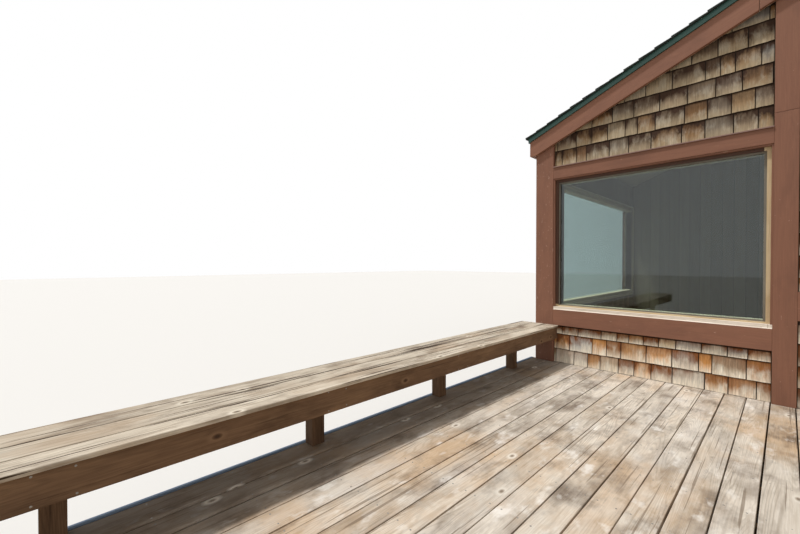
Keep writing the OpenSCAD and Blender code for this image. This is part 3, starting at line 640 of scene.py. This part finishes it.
def cast_concrete(base_colour):
    """Concrete cast against boards: soft cloudy greys, small air holes, and lifts 150 mm high."""
    material, node = new_material("Board cast concrete")
    place = node("TexCoord", out="Object")
    base, clouds = clouded(node, place, base_colour, 0.78, 1.15, Scale=2.6, Detail=7.0, Roughness=0.62)
    hole = node("MapRange", node("TexVoronoi", Vector=place, Scale=38.0), 0.05, 0.14, 1.0, 0.0)
    # The air holes are painted darker: painted shade in the pits
    base = node("Mix RGBA", hole, base, linear("#5d5850"))
    up = node("SeparateXYZ", place, out="Z")
    seams = node("Math LESS_THAN", node("Math MODULO", up, 0.15), 0.004)
    height = node("Math SUBTRACT", node("Math SUBTRACT", clouds, hole), seams)
    surface(node, base, 0.88, height, 2.0, 0.6, Specular_IOR_Level=0.3)
    return material


def float_glass():
    """Clear float glass, with the faint green of its iron."""
    material, node = new_material("Float glass")
    surface(node, linear("#b9c9c8"), 0.02, IOR=1.5, Transmission_Weight=1.0)
    return material


def wall_paint(name, base_colour):
    """Brushed or rolled paint indoors, dulled by age: nearly even, with a faint texture of 4 mm."""
    material, node = new_material(name)
    place = node("TexCoord", out="Object")
    base = clouded(node, place, base_colour, 0.93, 1.04, Scale=1.3, Detail=4.0)[0]
    roller = node("TexNoise", Vector=place, Scale=240.0, Detail=2.0)
    surface(node, base, 0.7, roller, 0.4, 0.3, Specular_IOR_Level=0.3)
    return material


def panelling():
    """Stained upright boards 140 mm wide that line the rooms, matte, with a dark joint between them."""
    material, node = new_material("Stained lining boards")
    place = node("TexCoord", out="Object")
    axes = node("SeparateXYZ", place, out=None)
    facing = node("SeparateXYZ", node("TexCoord", out="Normal"), out="X")
    side_wall = node("Math GREATER_THAN", node("Math ABSOLUTE", facing), 0.5)
    number = node("Math DIVIDE", node("Mix", side_wall, axes[0], axes[1]), 0.14)
    tone = node("TexWhiteNoise", W=node("Math FLOOR", number), noise_dimensions="1D")
    streaks = drawn_out(node, place, 0.04, 30.0, 1.0, 0.5)
    base = node("Mix RGBA", streaks, linear("#6c6450"), linear("#857b62"))
    base = node("VectorMath SCALE", base, node("MapRange", tone, To_Min=0.82, To_Max=1.12))
    joint = node("Math LESS_THAN", node("Math FRACT", number), 0.03)
    base = node("Mix RGBA", joint, base, linear("#332d22"))
    surface(node, base, 0.75, node("Math SUBTRACT", 1.0, joint), 1.0, Specular_IOR_Level=0.25)
    return material


FINISHES = {}


def finishes():
    """Makes every finish once."""
    if FINISHES:
        return FINISHES
    colours = bpy.context.scene.house_colours
    FINISHES.update(
        shingle=cedar_shingles(),
        # Old building paper in the keyways, almost black
        paper=speckled("Building paper", 60.0, 3.0, "#1c1611", "#35291f", 0.95, 0.5),
        roof=mineral_shingles(colours.roof),
        drip=painted_steel("Green coated steel", colours.drip),
        flashing=painted_steel("Stained flashing", linear("#86685d")[:3], 0.5),
        # Galvanised nail heads, dulled by salt air
        nail=speckled("Galvanised steel", 400.0, 2.0, "#6f6a63", "#b5b1aa", 0.5, 0.2, Metallic=0.7),
        # Cast bronze, gone brown, with brighter specks through it
        bronze=speckled("Aged bronze", 45.0, 4.0, "#3d2f22", "#8a6a45", 0.38, 0.2, 0.3, Metallic=1.0),
        concrete=cast_concrete(colours.concrete),
        glass=float_glass(),
        cream=wall_paint("Cream gloss paint", colours.cream),
        lining=panelling(),
        ceiling=wall_paint("Ceiling paint", linear("#d5cfc0")[:3]),
        # Boards with a brown stain, which flakes off at their edges
        stain=wood("Stained rough lumber", "#906650", "#7f5645", "#5c4034", streak=0.5, figure=0.08,
                   blotch="#6b4a3c", spread=0.05, chips=0.6, rough=0.6, depth_mm=0.5),
        # Painted shade: a darker copy of the stain for the sides of the window stops that the sun doesn't
        # reach
        rebate=wood("Stained lumber in the rebates", "#5d4335", "#47322a", "#33241d", streak=0.5, figure=0.05,
                    spread=0.04, rough=0.6, depth_mm=0.5),
        door=wood("Stained door planks", "#8b6049", "#774f3c", "#553527", streak=0.5, figure=0.2,
                  blotch="#63422f", blotches=0.3, rough=0.5, depth_mm=0.4),
        # Bare pine outdoors: grey, with brown left in its stains, and with dark drying checks. The bench's
        # sides keep more of their stain, the rims' blue grey is painted reflection of the sky, and the frame
        # under them is shaded
        deck=wood("Weathered pine decking", "#e6dccd", "#cabcaa", "#6f5d4a", streak=0.9, ring_mm=8,
                  blotch="#80705f", blotches=0.65, warm="#c59f72", warmth=0.3, knots=0.13, checks=0.6,
                  worn=0.65, spread=0.09),
        seat=wood("Weathered pine seat boards", "#e6dbc8", "#b9a892", "#3f2e1f", streak=1.0, figure=0.25,
                  blotch="#766350", blotches=0.75, warm="#a98b6b", knots=0.18, checks=1.0, crack=0.605,
                  depth_mm=1.6),
        apron=wood("Faded stained pine", "#86694f", "#654b36", "#2d1f15", streak=0.7, figure=0.2,
                   blotch="#463324", blotches=0.75, warm="#9a7a5a", knots=0.5, checks=0.4),
        # Painted reflection: the rims are blue grey, as the sky shows in them
        rim=wood("Blue grey weathered rim", "#8796a9", "#6c7e95", "#465262", figure=0.15, checks=0.4,
                 spread=0.04),
        timber=wood("Rough sawn framing lumber", "#a98f6f", "#8f7557", "#5f4a35", blotch="#6b563f",
                    knots=0.3, checks=0.4),
        # Fir round the panes: blond where the sun reaches it, grey at the putty, and bleached on the sills
        blond=wood("Weathered fir sash", "#dcc9a6", "#c3a980", "#8a7050", figure=0.2, blotch="#a98a62",
                   checks=0.4, spread=0.03, rough=0.7, depth_mm=0.5),
        bead=wood("Weathered putty bead", "#8d877b", "#6f695e", "#45413a", figure=0.05, blotch="#575247",
                  spread=0.03, rough=0.7, depth_mm=0.4),
        sill=wood("Sun bleached sill", "#efe5d8", "#ddcfbd", "#a58f78", figure=0.15, blotch="#b9a48c",
                  checks=0.5, spread=0.03, rough=0.7, depth_mm=0.5),
        # Oiled and varnished boards indoors, with a soft gloss
        floor=wood("Varnished floor boards", "#a37a50", "#8d6640", "#5f4128", figure=0.4, rough=0.35),
    )
    return FINISHES


# Shingles

def shingle_shape(butt, tip, off_back):
    """A tapered shingle, 1 m wide and high, to be scaled: its back at Y 0 and its face outwards at -Y."""
    bm = bmesh.new()
    rings = [[bm.verts.new(p) for p in (
        (x, -off_back, ragged), (x, bulge - butt, ragged), (x, bulge - tip, 1), (x, -0.0005, 1))]
        for x, bulge, ragged in ((-0.5, 0, 0), (-0.2, -0.0008, 0.012), (0.15, 0.0005, 0), (0.5, 0, 0.008))]
    bridged(bm, rings)
    bm.faces.new(rings[0])
    bm.faces.new(rings[-1][::-1])
    bmesh.ops.recalc_face_normals(bm, faces=bm.faces)
    return bm


def cut_round(bm, low, high):
    """Cuts away what lies between two upright planes and under a level, as at a doorway."""
    beside, over = bm.copy(), bm.copy()
    cut_back(bm, (low[0], 0, 0), (1, 0, 0))
    cut_back(beside, (high[0], 0, 0), (-1, 0, 0))
    for point, normal in ((low, (-1, 0, 0)), (high, (1, 0, 0)), (high, (0, 0, -1))):
        cut_back(over, point, normal)
    gathered([to_mesh(beside, "beside"), to_mesh(over, "over")], bm)


class HOUSE_OT_shingle_walls(bpy.types.Operator):
    """Clad the four walls with courses of cedar shingles"""
    bl_idname = "house.shingle_walls"
    bl_label = "Shingle the walls"

    def execute(self, context):
        sizes = context.scene.house_shingles
        tree = shingle_tree()
        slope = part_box("seaward_roof_slope")[0]
        under = slope.z + (X_SEA - slope.x) * math.tan(ROOF_ANGLE)
        half = (X_LAND - X_SEA) / 2
        doorway = [WALLS["front"].inverted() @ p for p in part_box("door_frame")]
        for number, (wall, place) in enumerate(WALLS.items()):
            node = wall + "_shingles"
            cladding, papers = [], bmesh.new()
            for field, places in enumerate(solid_places(node, place.inverted())):
                # The courses are at the heights where the plain solid has its steps
                low, high = places.min(0), places.max(0)
                steps = np.diff(np.unique(np.round(places[places[:, 1] < low[1] + 1e-4][:, 2], 4)))
                first = steps[0] if len(steps) else high[2] - low[2]
                course = steps[1] if len(steps) > 1 else first
                seed = sizes.seed + 100 * number + field
                mesh = grown(tree, shingle_shape(*WALL_SHINGLE), "shingle", Width=high[0] - low[0],
                             Height=high[2] - low[2], First_course=first, Course=course, Lap=sizes.lap,
                             Least_width=sizes.least_width, Greatest_width=sizes.greatest_width,
                             Keyway=sizes.keyway, Unevenness=sizes.unevenness, Seed=seed)
                mark_boards(mesh, seed, axis=2)
                mesh.transform(Matrix.Translation((low[0], SHEATHING, low[2])))
                cladding.append(mesh)
                block(papers, (low[0], SHEATHING - WALL_PAPER, low[2]), (high[0], SHEATHING, high[2]))
            shingles = gathered(cladding)
            for bm in (shingles, papers):
                if wall == "front":
                    cut_round(bm, doorway[0] - Vector((DOOR_GAP, 0, 0)),
                              doorway[1] + Vector((DOOR_GAP, 0, DOOR_GAP)))
                if wall in ("front", "back"):
                    for side in (-1, 1):
                        cut_back(bm, (side * half, 0, under),
                                 (side * math.sin(ROOF_ANGLE), 0, math.cos(ROOF_ANGLE)))
                bm.transform(place)
            dress("cedar_" + wall, shingles, "shingle", "cedar_shingle", node)
            dress("paper_" + wall, papers, "paper", "cedar_shingle")
        return {"FINISHED"}


class HOUSE_OT_shingle_roof(bpy.types.Operator):
    """Lay the roof shingles and the ridge cap, and hang the fascias and the drip edges"""
    bl_idname = "house.shingle_roof"
    bl_label = "Shingle the roof"

    def execute(self, context):
        sizes = context.scene.house_shingles
        low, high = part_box("roof_shingles")
        sine, cosine = math.sin(ROOF_ANGLE), math.cos(ROOF_ANGLE)
        along, run = high.y - low.y, (X_MID - low.x) / cosine
        tree = shingle_tree()
        for side, name in ((1, "seaward"), (-1, "landward")):
            origin = (low.x, high.y, low.z) if side > 0 else (high.x, low.y, low.z)
            place = Matrix.Translation(origin) @ Matrix((
                (0, side * sine, side * cosine, 0), (-side, 0, 0, 0), (0, -cosine, sine, 0), (0, 0, 0, 1)))
            mesh = grown(tree, shingle_shape(*ROOF_SHINGLE), "roof", Width=along, Height=run,
                         First_course=ROOF_COURSE, Course=ROOF_COURSE, Lap=ROOF_LAP,
                         Least_width=sizes.roof_least_width, Greatest_width=sizes.roof_greatest_width,
                         Keyway=ROOF_KEYWAY, Unevenness=ROOF_UNEVENNESS, Seed=sizes.seed + 500 + side)
            mark_boards(mesh, sizes.seed + side, axis=2)
            mesh.transform(place)
            bm = gathered([mesh])
            block(bm, (0, -ROOF_PAPER, 0), (along, 0, run), place)
            cut_back(bm, (X_MID, 0, 0), (side, 0, 0))
            dress("roof_courses_" + name, bm, "roof", "roof_shingle", "roof_shingles")
        self.cap_ridge()
        self.hang_fascias()
        finish_nodes("drip", "drip_edges")
        return {"FINISHED"}

    def cap_ridge(self):
        """Bent cap pieces, each lapping the one before it."""
        low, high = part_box("ridge_cap")
        half = (high.x - low.x) / 2
        fall = half * math.tan(ROOF_ANGLE)
        bm = bmesh.new()
        rings = [[bm.verts.new((x, y, z)) for y, z in (
            (half, top - fall), (0, top), (-half, top - fall),
            (-half, top - fall - CAP_THICK), (0, top - CAP_THICK), (half, top - fall - CAP_THICK))]
            for x, top in ((0, high.z), (CAP_LENGTH, high.z - CAP_DROP))]
        bridged(bm, rings)
        for ring in rings:
            bm.faces.new((ring[0], ring[1], ring[4], ring[5]))
            bm.faces.new(ring[1:5])
        bmesh.ops.recalc_face_normals(bm, faces=bm.faces)
        mesh = grown(row_tree(), bm, "roof", Count=math.ceil((high.y - low.y) / ROOF_COURSE),
                     Pitch=ROOF_COURSE, Unevenness=0.001, Seed=3)
        mesh.transform(Matrix.Translation((X_MID, low.y, 0)) @ Matrix.Rotation(math.pi / 2, 4, "Z"))
        mark_boards(mesh, 41)
        caps = gathered([mesh])
        cut_back(caps, high, (0, 1, 0))
        cut_back(caps, low, (0, -1, 0))
        dress("ridge_caps", caps, "roof", "roof_shingle", "ridge_cap")

    def hang_fascias(self):
        """Rake boards in two lengths on each slope, and the eave boards."""
        legs = []
        for side in (-1, 1):
            for part, kept in enumerate((-side, side)):
                bm = node_solids("rake_fascias")
                cut_back(bm, (X_MID, 0, 0), (-side, 0, 0))
                cut_back(bm, (X_MID + side * RAKE_SPLICE + kept * RAKE_GAP / 2, 0, 0), (-kept, 0, 0))
                ease_edges(bm, BOARD_EASE)
                leg = to_mesh(bm, "leg")
                mark_boards(leg, 60 + side + 2 * part, turn=Matrix.Rotation(-side * ROOF_ANGLE, 4, "Y"))
                legs.append(leg)
        dress("rake_boards", gathered(legs), "stain", "trim_paint", "rake_fascias")
        boards("eave_fascias", "eave_boards", "stain", "trim_paint", 71)


# Boards

def long_way(low, high):
    """The level direction that a box is longer in."""
    return Vector((0, 1, 0)) if high[0] - low[0] < high[1] - low[1] else Vector((1, 0, 0))


def frame_sides(node):
    """A node of frames that go round openings, with each frame cut into its two uprights, which run
    through, and its head and sill between them."""
    whole = node_solids(node)
    parts = []
    for low, high in solid_boxes(node):
        axis, up = long_way(low, high), Vector((0, 0, 1))
        ring = whole.copy()
        outside = [v for v in ring.verts
                   if any(not low[i] - 1e-4 < v.co[i] < high[i] + 1e-4 for i in range(3))]
        bmesh.ops.delete(ring, geom=outside, context="VERTS")
        steps = sorted({round(v.co.dot(axis), 4) for v in ring.verts})
        first, last = steps[len(steps) // 2 - 1], steps[len(steps) // 2]
        middle = (low[2] + high[2]) / 2
        between = ((first, -axis), (last, axis))
        for cuts in (((first, axis),), ((last, -axis),), (*between, (middle, up)), (*between, (middle, -up))):
            side = ring.copy()
            for place, normal in cuts:
                cut_back(side, [place] * 3, normal)
            parts.append(to_mesh(side, "side"))
        ring.free()
    whole.free()
    return gathered(parts)


def boards(node, name, finish, slot, seed, ease=BOARD_EASE, splice=None, seams=(), others=(), sides=False):
    """A node's boards with eased edges and their own grain. A splice is a height where the boards are
    jointed. Seams are planes where a finish changes, and others are finishes for the faces whose
    centres pass a test. Sides are cut apart where the node's solids go round an opening."""
    bm = frame_sides(node) if sides else node_solids(node)
    for point, normal in seams:
        bmesh.ops.bisect_plane(bm, geom=parts_of(bm), plane_co=point, plane_no=normal)
    upper = [bm.copy()] if splice else []
    for part in upper:
        cut_back(bm, (0, 0, splice - SPLICE_GAP / 2), (0, 0, 1))
        cut_back(part, (0, 0, splice + SPLICE_GAP / 2), (0, 0, -1))
        ease_edges(part, ease)
    ease_edges(bm, ease)
    piece = dress(name, gathered([to_mesh(part, name) for part in upper], bm), finish, slot, node, seed=seed)
    for number, (other, test) in enumerate(others, 1):
        piece.data.materials.append(finishes()[other])
        for face in piece.data.polygons:
            if test(face.center):
                face.material_index = number


def depth_in_wall(place):
    """How far in from the nearest wall's board faces a point lies."""
    return min(place.x - X_SEA, X_LAND - place.x, place.y - Y_FRONT, Y_BACK - place.y)


class HOUSE_OT_fit_boards(bpy.types.Operator):
    """Fit the corner, post, head, sill and belt boards, and the flashings over the heads"""
    bl_idname = "house.fit_boards"
    bl_label = "Fit the wall boards"

    def execute(self, context):
        for seed, node in enumerate(("corner_boards", "head_trims", "sill_trims", "belt_boards"), 11):
            boards(node, node.split("_")[0] + "_lumber", "stain", "trim_paint", seed)
        boards("post_boards", "post_lumber", "stain", "trim_paint", 15, splice=DECK_Z + SPLICE_HEIGHT)
        self.flash_heads()
        return {"FINISHED"}

    def flash_heads(self):
        """A bent metal strip over each head board, with a lip that stands 12 mm off its face."""
        thick, off, lip = 0.0015, 0.012, 0.008
        bm = bmesh.new()
        for place in WALLS.values():
            for low, high in solid_boxes("head_trims", place.inverted()):
                if abs(low[1]) < 1e-3 and high[1] < 0.06:
                    top = high[2] + thick
                    block(bm, (low[0], -off, high[2]), (high[0], SHEATHING - 0.006, top), place)
                    block(bm, (low[0], -off - thick, high[2] - lip), (high[0], -off, top), place)
        dress("head_flashings", bm, "flashing", "trim_paint")


class HOUSE_OT_glaze_windows(bpy.types.Operator):
    """Finish the window frames, the stops, the glass and the casings inside"""
    bl_idname = "house.glaze_windows"
    bl_label = "Glaze the windows"

    def execute(self, context):
        # The frames' sills are bleached. The stops are blond on the side and the foot that the sun reaches,
        # and the rest of them is stained darker: painted shade
        sill_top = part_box("window_stops")[0].z
        bead_top = sill_top + BEAD_HEIGHT
        rings = [(low, high, long_way(low, high)) for low, high in solid_boxes("window_stops")]
        seams = [((0, 0, sill_top), (0, 0, 1)), ((0, 0, bead_top), (0, 0, 1))]
        seams += [(Vector(high) - axis * SUNNY_SIDE, axis) for low, high, axis in rings]

        def sunny(centre):
            for low, high, axis in rings:
                if all(low[i] - 0.02 < centre[i] < high[i] + 0.02 for i in range(3)):
                    return axis.dot(Vector(high) - centre) < SUNNY_SIDE + NEAR or centre.z < bead_top
            return False

        fit = partial(boards, slot="window_wood", ease=0.0015, sides=True)
        fit("window_frames", "sash_frames", "stain", seed=21, seams=seams[:1], others=[
            ("sill", lambda centre: centre.z < sill_top + NEAR and depth_in_wall(centre) < SILL_DEPTH),
            ("cream", lambda centre: depth_in_wall(centre) > CASING_DEPTH)])
        fit("window_stops", "sash_stops", "rebate", seed=22, seams=seams, others=[
            ("blond", lambda centre: sunny(centre) and depth_in_wall(centre) < GLASS_DEPTH),
            ("bead", lambda centre: depth_in_wall(centre) >= GLASS_DEPTH)])
        finish_nodes("glass", "window_glass")
        # Daylight passes the panes, so that the rooms aren't dark behind them
        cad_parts["window_glass"].visible_shadow = False
        finish_nodes("cream", "interior_casings")
        return {"FINISHED"}


class HOUSE_OT_hang_door(bpy.types.Operator):
    """Finish the door frame and hang a boarded leaf with a knob"""
    bl_idname = "house.hang_door"
    bl_label = "Hang the door"

    def execute(self, context):
        boards("door_frame", "door_lumber", "stain", "trim_paint", 31)
        low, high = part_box("door_leaf")
        count, back, joint = 6, 0.014, 0.0004
        pitch = (high.x - low.x) / count
        plank = bmesh.new()
        block(plank, (joint, 0, 0), (pitch - joint, high.y - low.y - back, high.z - low.z))
        ease_edges(plank, 0.004, 1)
        planks = grown(row_tree(), plank, "door", Count=count, Pitch=pitch)
        planks.transform(Matrix.Translation(low))
        leaf = gathered([planks])
        block(leaf, (low.x, high.y - back, low.z), high)
        dress("door_planks", leaf, "door", "door_paint", "door_leaf", seed=32, axis=2)
        self.fit_hardware(low, high)
        return {"FINISHED"}

    def fit_hardware(self, low, high):
        """A round knob on a rose on both faces, and three hinge barrels outside."""
        bm = bmesh.new()
        knob = [(0.0, 0.0), (0.031, 0.0), (0.032, 0.004), (0.028, 0.007), (0.012, 0.009), (0.010, 0.028),
                (0.018, 0.034), (0.027, 0.044), (0.028, 0.053), (0.022, 0.062), (0.010, 0.066), (0.0, 0.067)]
        hinge, inset = 0.1, 0.18
        barrel = [(0.0, 0.0), (0.005, 0.0), (0.0068, 0.002)]
        for knuckle in (0.02, 0.04, 0.06, 0.08):
            barrel += [(0.0068, knuckle - 0.0004), (0.0058, knuckle), (0.0068, knuckle + 0.0004)]
        barrel += [(0.0068, hinge - 0.002), (0.005, hinge), (0.0, hinge)]
        for y, turn in ((low.y, math.pi / 2), (high.y, -math.pi / 2)):
            place = Matrix.Translation((high.x - 0.07, y, low.z + 0.95))
            turned(bm, knob, place @ Matrix.Rotation(turn, 4, "X"), 20)
        for z in (low.z + inset, (low.z + high.z - hinge) / 2, high.z - inset - hinge):
            turned(bm, barrel, Matrix.Translation((low.x - 0.002, low.y - 0.0062, z)), 20)
        dress("door_hardware", bm, "bronze", "drip_paint")


# Deck and bench

def edge_lines(node, axis):
    """Where a node's faces lie along an axis."""
    return np.unique(np.round(vertex_places(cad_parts[node].data)[:, axis], 4))


def nail_heads(radius, **values):
    """Rows of low domed nail heads, each with the top of its shank."""
    bm = bmesh.new()
    turned(bm, [(radius * share, height) for share, height in (
        (0.4, -0.006), (1.0, 0.0002), (1.0, 0.0011), (0.6, NAIL_HEIGHT))], Matrix(), 8)
    return grown(nail_tree(), bm, "nail", Wander=NAIL_WANDER, **values)


class HOUSE_OT_lay_deck(bpy.types.Operator):
    """Lay the deck boards, drive their nails, and finish the frame under them"""
    bl_idname = "house.lay_deck"
    bl_label = "Lay the deck"

    def execute(self, context):
        sizes = context.scene.house_deck
        low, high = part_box("deck_boards")
        sides, joists = edge_lines("deck_boards", 0), edge_lines("deck_joists", 1)
        middles = (joists[0::2] + joists[1::2]) / 2
        pitch = sides[4] - sides[2]
        rows, nails = [], []
        # The wide board at the edge, then the row of equal boards
        for first, last, count in ((sides[0], sides[1], 1), (sides[2], sides[3], len(sides) // 2 - 1)):
            board = bmesh.new()
            block(board, (0, 0, low.z), (last - first, high.y - low.y, high.z))
            ease_edges(board, sizes.edge, 3)
            rows.append(grown(row_tree(), board, "deck", Count=count, Pitch=pitch, Seed=sizes.seed,
                              Unevenness=sizes.unevenness, Wander=sizes.wander if count > 1 else 0.0))
            rows[-1].transform(Matrix.Translation((first, low.y, 0)))
            # Two nails for each board over each joist
            nails.append(nail_heads(
                sizes.nail_radius, Boards=count, Board_pitch=pitch, Pair=last - first - 2 * sizes.nail_inset,
                Rows=len(middles), Row_pitch=(middles[-1] - middles[0]) / (len(middles) - 1), Seed=9))
            nails[-1].transform(Matrix.Translation(
                (first + sizes.nail_inset, middles[0], high.z - NAIL_HEIGHT)))
        dress("deck_planks", gathered(rows), "deck", "deck_wood", "deck_boards", seed=sizes.seed)
        dress("deck_nails", gathered(nails), "nail", "deck_wood")
        boards("deck_side_rims", "side_rims", "rim", "rim_wood", 81)
        boards("deck_front_rim", "front_rim", "timber", "rim_wood", 82)
        boards("deck_joists", "joists", "timber", "frame_wood", 83)
        boards("deck_beams", "beams", "timber", "frame_wood", 84)
        boards("deck_posts", "deck_stubs", "timber", "frame_wood", 85)
        return {"FINISHED"}


class HOUSE_OT_build_bench(bpy.types.Operator):
    """Build the bench: seat boards, aprons, bearers and posts"""
    bl_idname = "house.build_bench"
    bl_label = "Build the bench"

    def execute(self, context):
        self.seat_boards()
        boards("bench_aprons", "apron_lumber", "apron", "bench_wood", 91)
        boards("bench_bearers", "bearer_lumber", "apron", "bench_wood", 92)
        boards("bench_posts", "post_stubs", "apron", "bench_wood", 93)
        self.drive_nails(context.scene.house_deck.nail_radius)
        return {"FINISHED"}

    def drive_nails(self, radius):
        """Nail heads over each bearer: two in each seat board, and two in each apron."""
        places = sorted({round((low[1] + high[1]) / 2, 4) for low, high in solid_boxes("bench_bearers")})
        meshes = []

        def drive(apart, seed, place, turn):
            meshes.append(nail_heads(radius, Boards=len(places) // 2, Board_pitch=places[2] - places[0],
                                     Pair=places[1] - places[0], Rows=2, Row_pitch=apart, Seed=seed))
            meshes[-1].transform(Matrix.Translation(place) @ turn)

        for number, (low, high) in enumerate(solid_boxes("bench_seat")):
            drive(high[0] - low[0] - 2 * SEAT_NAIL_INSET, 20 + number,
                  (high[0] - SEAT_NAIL_INSET, places[0], high[2] - SEAT_NAIL_SINK),
                  Matrix.Rotation(math.pi / 2, 4, "Z"))
        for number, (low, high) in enumerate(solid_boxes("bench_aprons")):
            side, face, first = (1, high[0], places[0]) if low[0] > X_SEA else (-1, low[0], places[-1])
            drive(high[2] - low[2] - 2 * APRON_NAIL_INSET, 30 + number,
                  (face - APRON_NAIL_SINK * side, first, low[2] + APRON_NAIL_INSET),
                  Matrix(((0, 0, side, 0), (side, 0, 0, 0), (0, 1, 0, 0), (0, 0, 0, 1))))
        dress("bench_nails", gathered(meshes), "nail", "bench_wood")

    def seat_boards(self):
        """Seat boards with worn, slightly wavy edges."""
        bm = node_solids("bench_seat")
        ease_edges(bm, 0.004)
        long_edges = [e for e in bm.edges if abs((e.verts[0].co - e.verts[1].co).y) > 1]
        bmesh.ops.subdivide_edges(bm, edges=long_edges, cuts=60, use_grid_fill=True)
        low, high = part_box("bench_seat")
        # Waves 110 mm long across the boards and 320 mm along them. Unseeded, they would differ in each run
        noise.seed_set(SEAT_SEED)
        for v in bm.verts:
            wave = noise.noise_vector(Vector((v.co.x * 9, v.co.y * 3.1, v.co.z * 9)))
            v.co.z -= SEAT_WAVE * (1 + wave.z)
            if low.x + 0.002 < v.co.x < high.x - 0.002:
                v.co.x += SEAT_WAVE * wave.x
        dress("seat_planks", bm, "seat", "seat_wood", "bench_seat", seed=90)


class HOUSE_OT_finish_shell(bpy.types.Operator):
    """Finish the foundation, the piers, the floor, the linings and the ceilings"""
    bl_idname = "house.finish_shell"
    bl_label = "Finish the shell"

    def execute(self, context):
        finish_nodes("concrete", "foundation_wall", "pier_blocks")
        boards("floor_platform", "floor_boards", "floor", "floor_wood", 95)
        finish_nodes("lining", "room_divider", *(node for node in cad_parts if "_wall_" in node))
        finish_nodes("ceiling", "seaward_roof_slope", "landward_roof_slope")
        return {"FINISHED"}


# Stage

class HOUSE_OT_set_stage(bpy.types.Operator):
    """Set the camera, the lights, the floor and the white surround"""
    bl_idname = "house.set_stage"
    bl_label = "Set the stage"

    def execute(self, context):
        scene = context.scene
        settings = scene.house_stage
        scene.view_settings.view_transform = "Standard"
        camera = new_object("camera", bpy.data.cameras.new("camera"))
        camera.data.lens = settings.lens
        camera.data.sensor_width = 36
        camera.data.clip_end = 200
        camera.location = settings.camera
        camera.rotation_euler = (math.pi / 2 - settings.pitch, 0, settings.yaw)
        scene.camera = camera
        for name, strength, spread, direction in (
                ("key", settings.key, 4, (0.33, 0.36, -1.0)),
                ("fill", settings.fill, 100, (-0.35, 1.0, -0.55))):
            lamp = new_object(name, bpy.data.lights.new(name, "SUN"))
            lamp.data.energy = strength
            lamp.data.angle = math.radians(spread)
            lamp.rotation_euler = Vector(direction).to_track_quat("-Z", "Y").to_euler()
        self.surround(scene, settings.sky)
        self.lay_floor()
        return {"FINISHED"}

    def surround(self, scene, strength):
        """White where the camera, a reflection or clear glass sees it, and an even light elsewhere."""
        scene.world = bpy.data.worlds.new("Surround")
        scene.world.use_nodes = True
        scene.world.node_tree.nodes.clear()
        node = partial(add, scene.world.node_tree)
        even, white = (node("Background", (1, 1, 1, 1), level) for level in (strength, 1.0))
        node("OutputWorld", node("MixShader", self.seen(node), even, white))

    def seen(self, node):
        """1 for rays from the camera and for those that come by a reflection or through glass."""
        path = node("LightPath", out=None)
        seen = node("Math MAXIMUM", path["Is Camera Ray"], path["Is Glossy Ray"])
        return node("Math MAXIMUM", seen, path["Is Transmission Ray"])

    def lay_floor(self):
        """A pale floor that throws back no more light on the house than dry ground does."""
        bm = bmesh.new()
        bmesh.ops.create_grid(bm, x_segments=1, y_segments=1, size=60)
        ground = new_object("floor", to_mesh(bm, "floor"))
        material, node = new_material("Pale floor")
        surface(node, node("Mix RGBA", self.seen(node), linear("#a9a59c"), linear("#e6e3de")), 0.9)
        ground.data.materials.append(material)


class HOUSE_PT_panel(bpy.types.Panel):
    """Lists the steps that dress the house"""
    bl_label = "Beach House"
    bl_space_type = "VIEW_3D"
    bl_region_type = "UI"
    bl_category = "Beach House"

    def draw(self, context):
        for step in STEPS:
            self.layout.operator(step.bl_idname)
        for group in GROUPS:
            box = self.layout.box()
            settings = getattr(context.scene, group)
            for name in settings.__annotations__:
                box.prop(settings, name)


GROUPS = {"house_shingles": ShingleSizes, "house_deck": DeckSizes, "house_colours": FinishColours,
          "house_stage": StageSettings}
STEPS = (HOUSE_OT_set_stage, HOUSE_OT_finish_shell, HOUSE_OT_shingle_walls, HOUSE_OT_fit_boards,
         HOUSE_OT_glaze_windows, HOUSE_OT_hang_door, HOUSE_OT_shingle_roof, HOUSE_OT_lay_deck,
         HOUSE_OT_build_bench)


def register():
    for kind in (*GROUPS.values(), *STEPS, HOUSE_PT_panel):
        bpy.utils.register_class(kind)
    for name, kind in GROUPS.items():
        setattr(bpy.types.Scene, name, PointerProperty(type=kind))


def unregister():
    for name in GROUPS:
        delattr(bpy.types.Scene, name)
    for kind in reversed((*GROUPS.values(), *STEPS, HOUSE_PT_panel)):
        bpy.utils.unregister_class(kind)


def main():
    register()
    for step in STEPS:
        group, name = step.bl_idname.split(".")
        getattr(getattr(bpy.ops, group), name)()


if __name__ == "__main__":
    main()
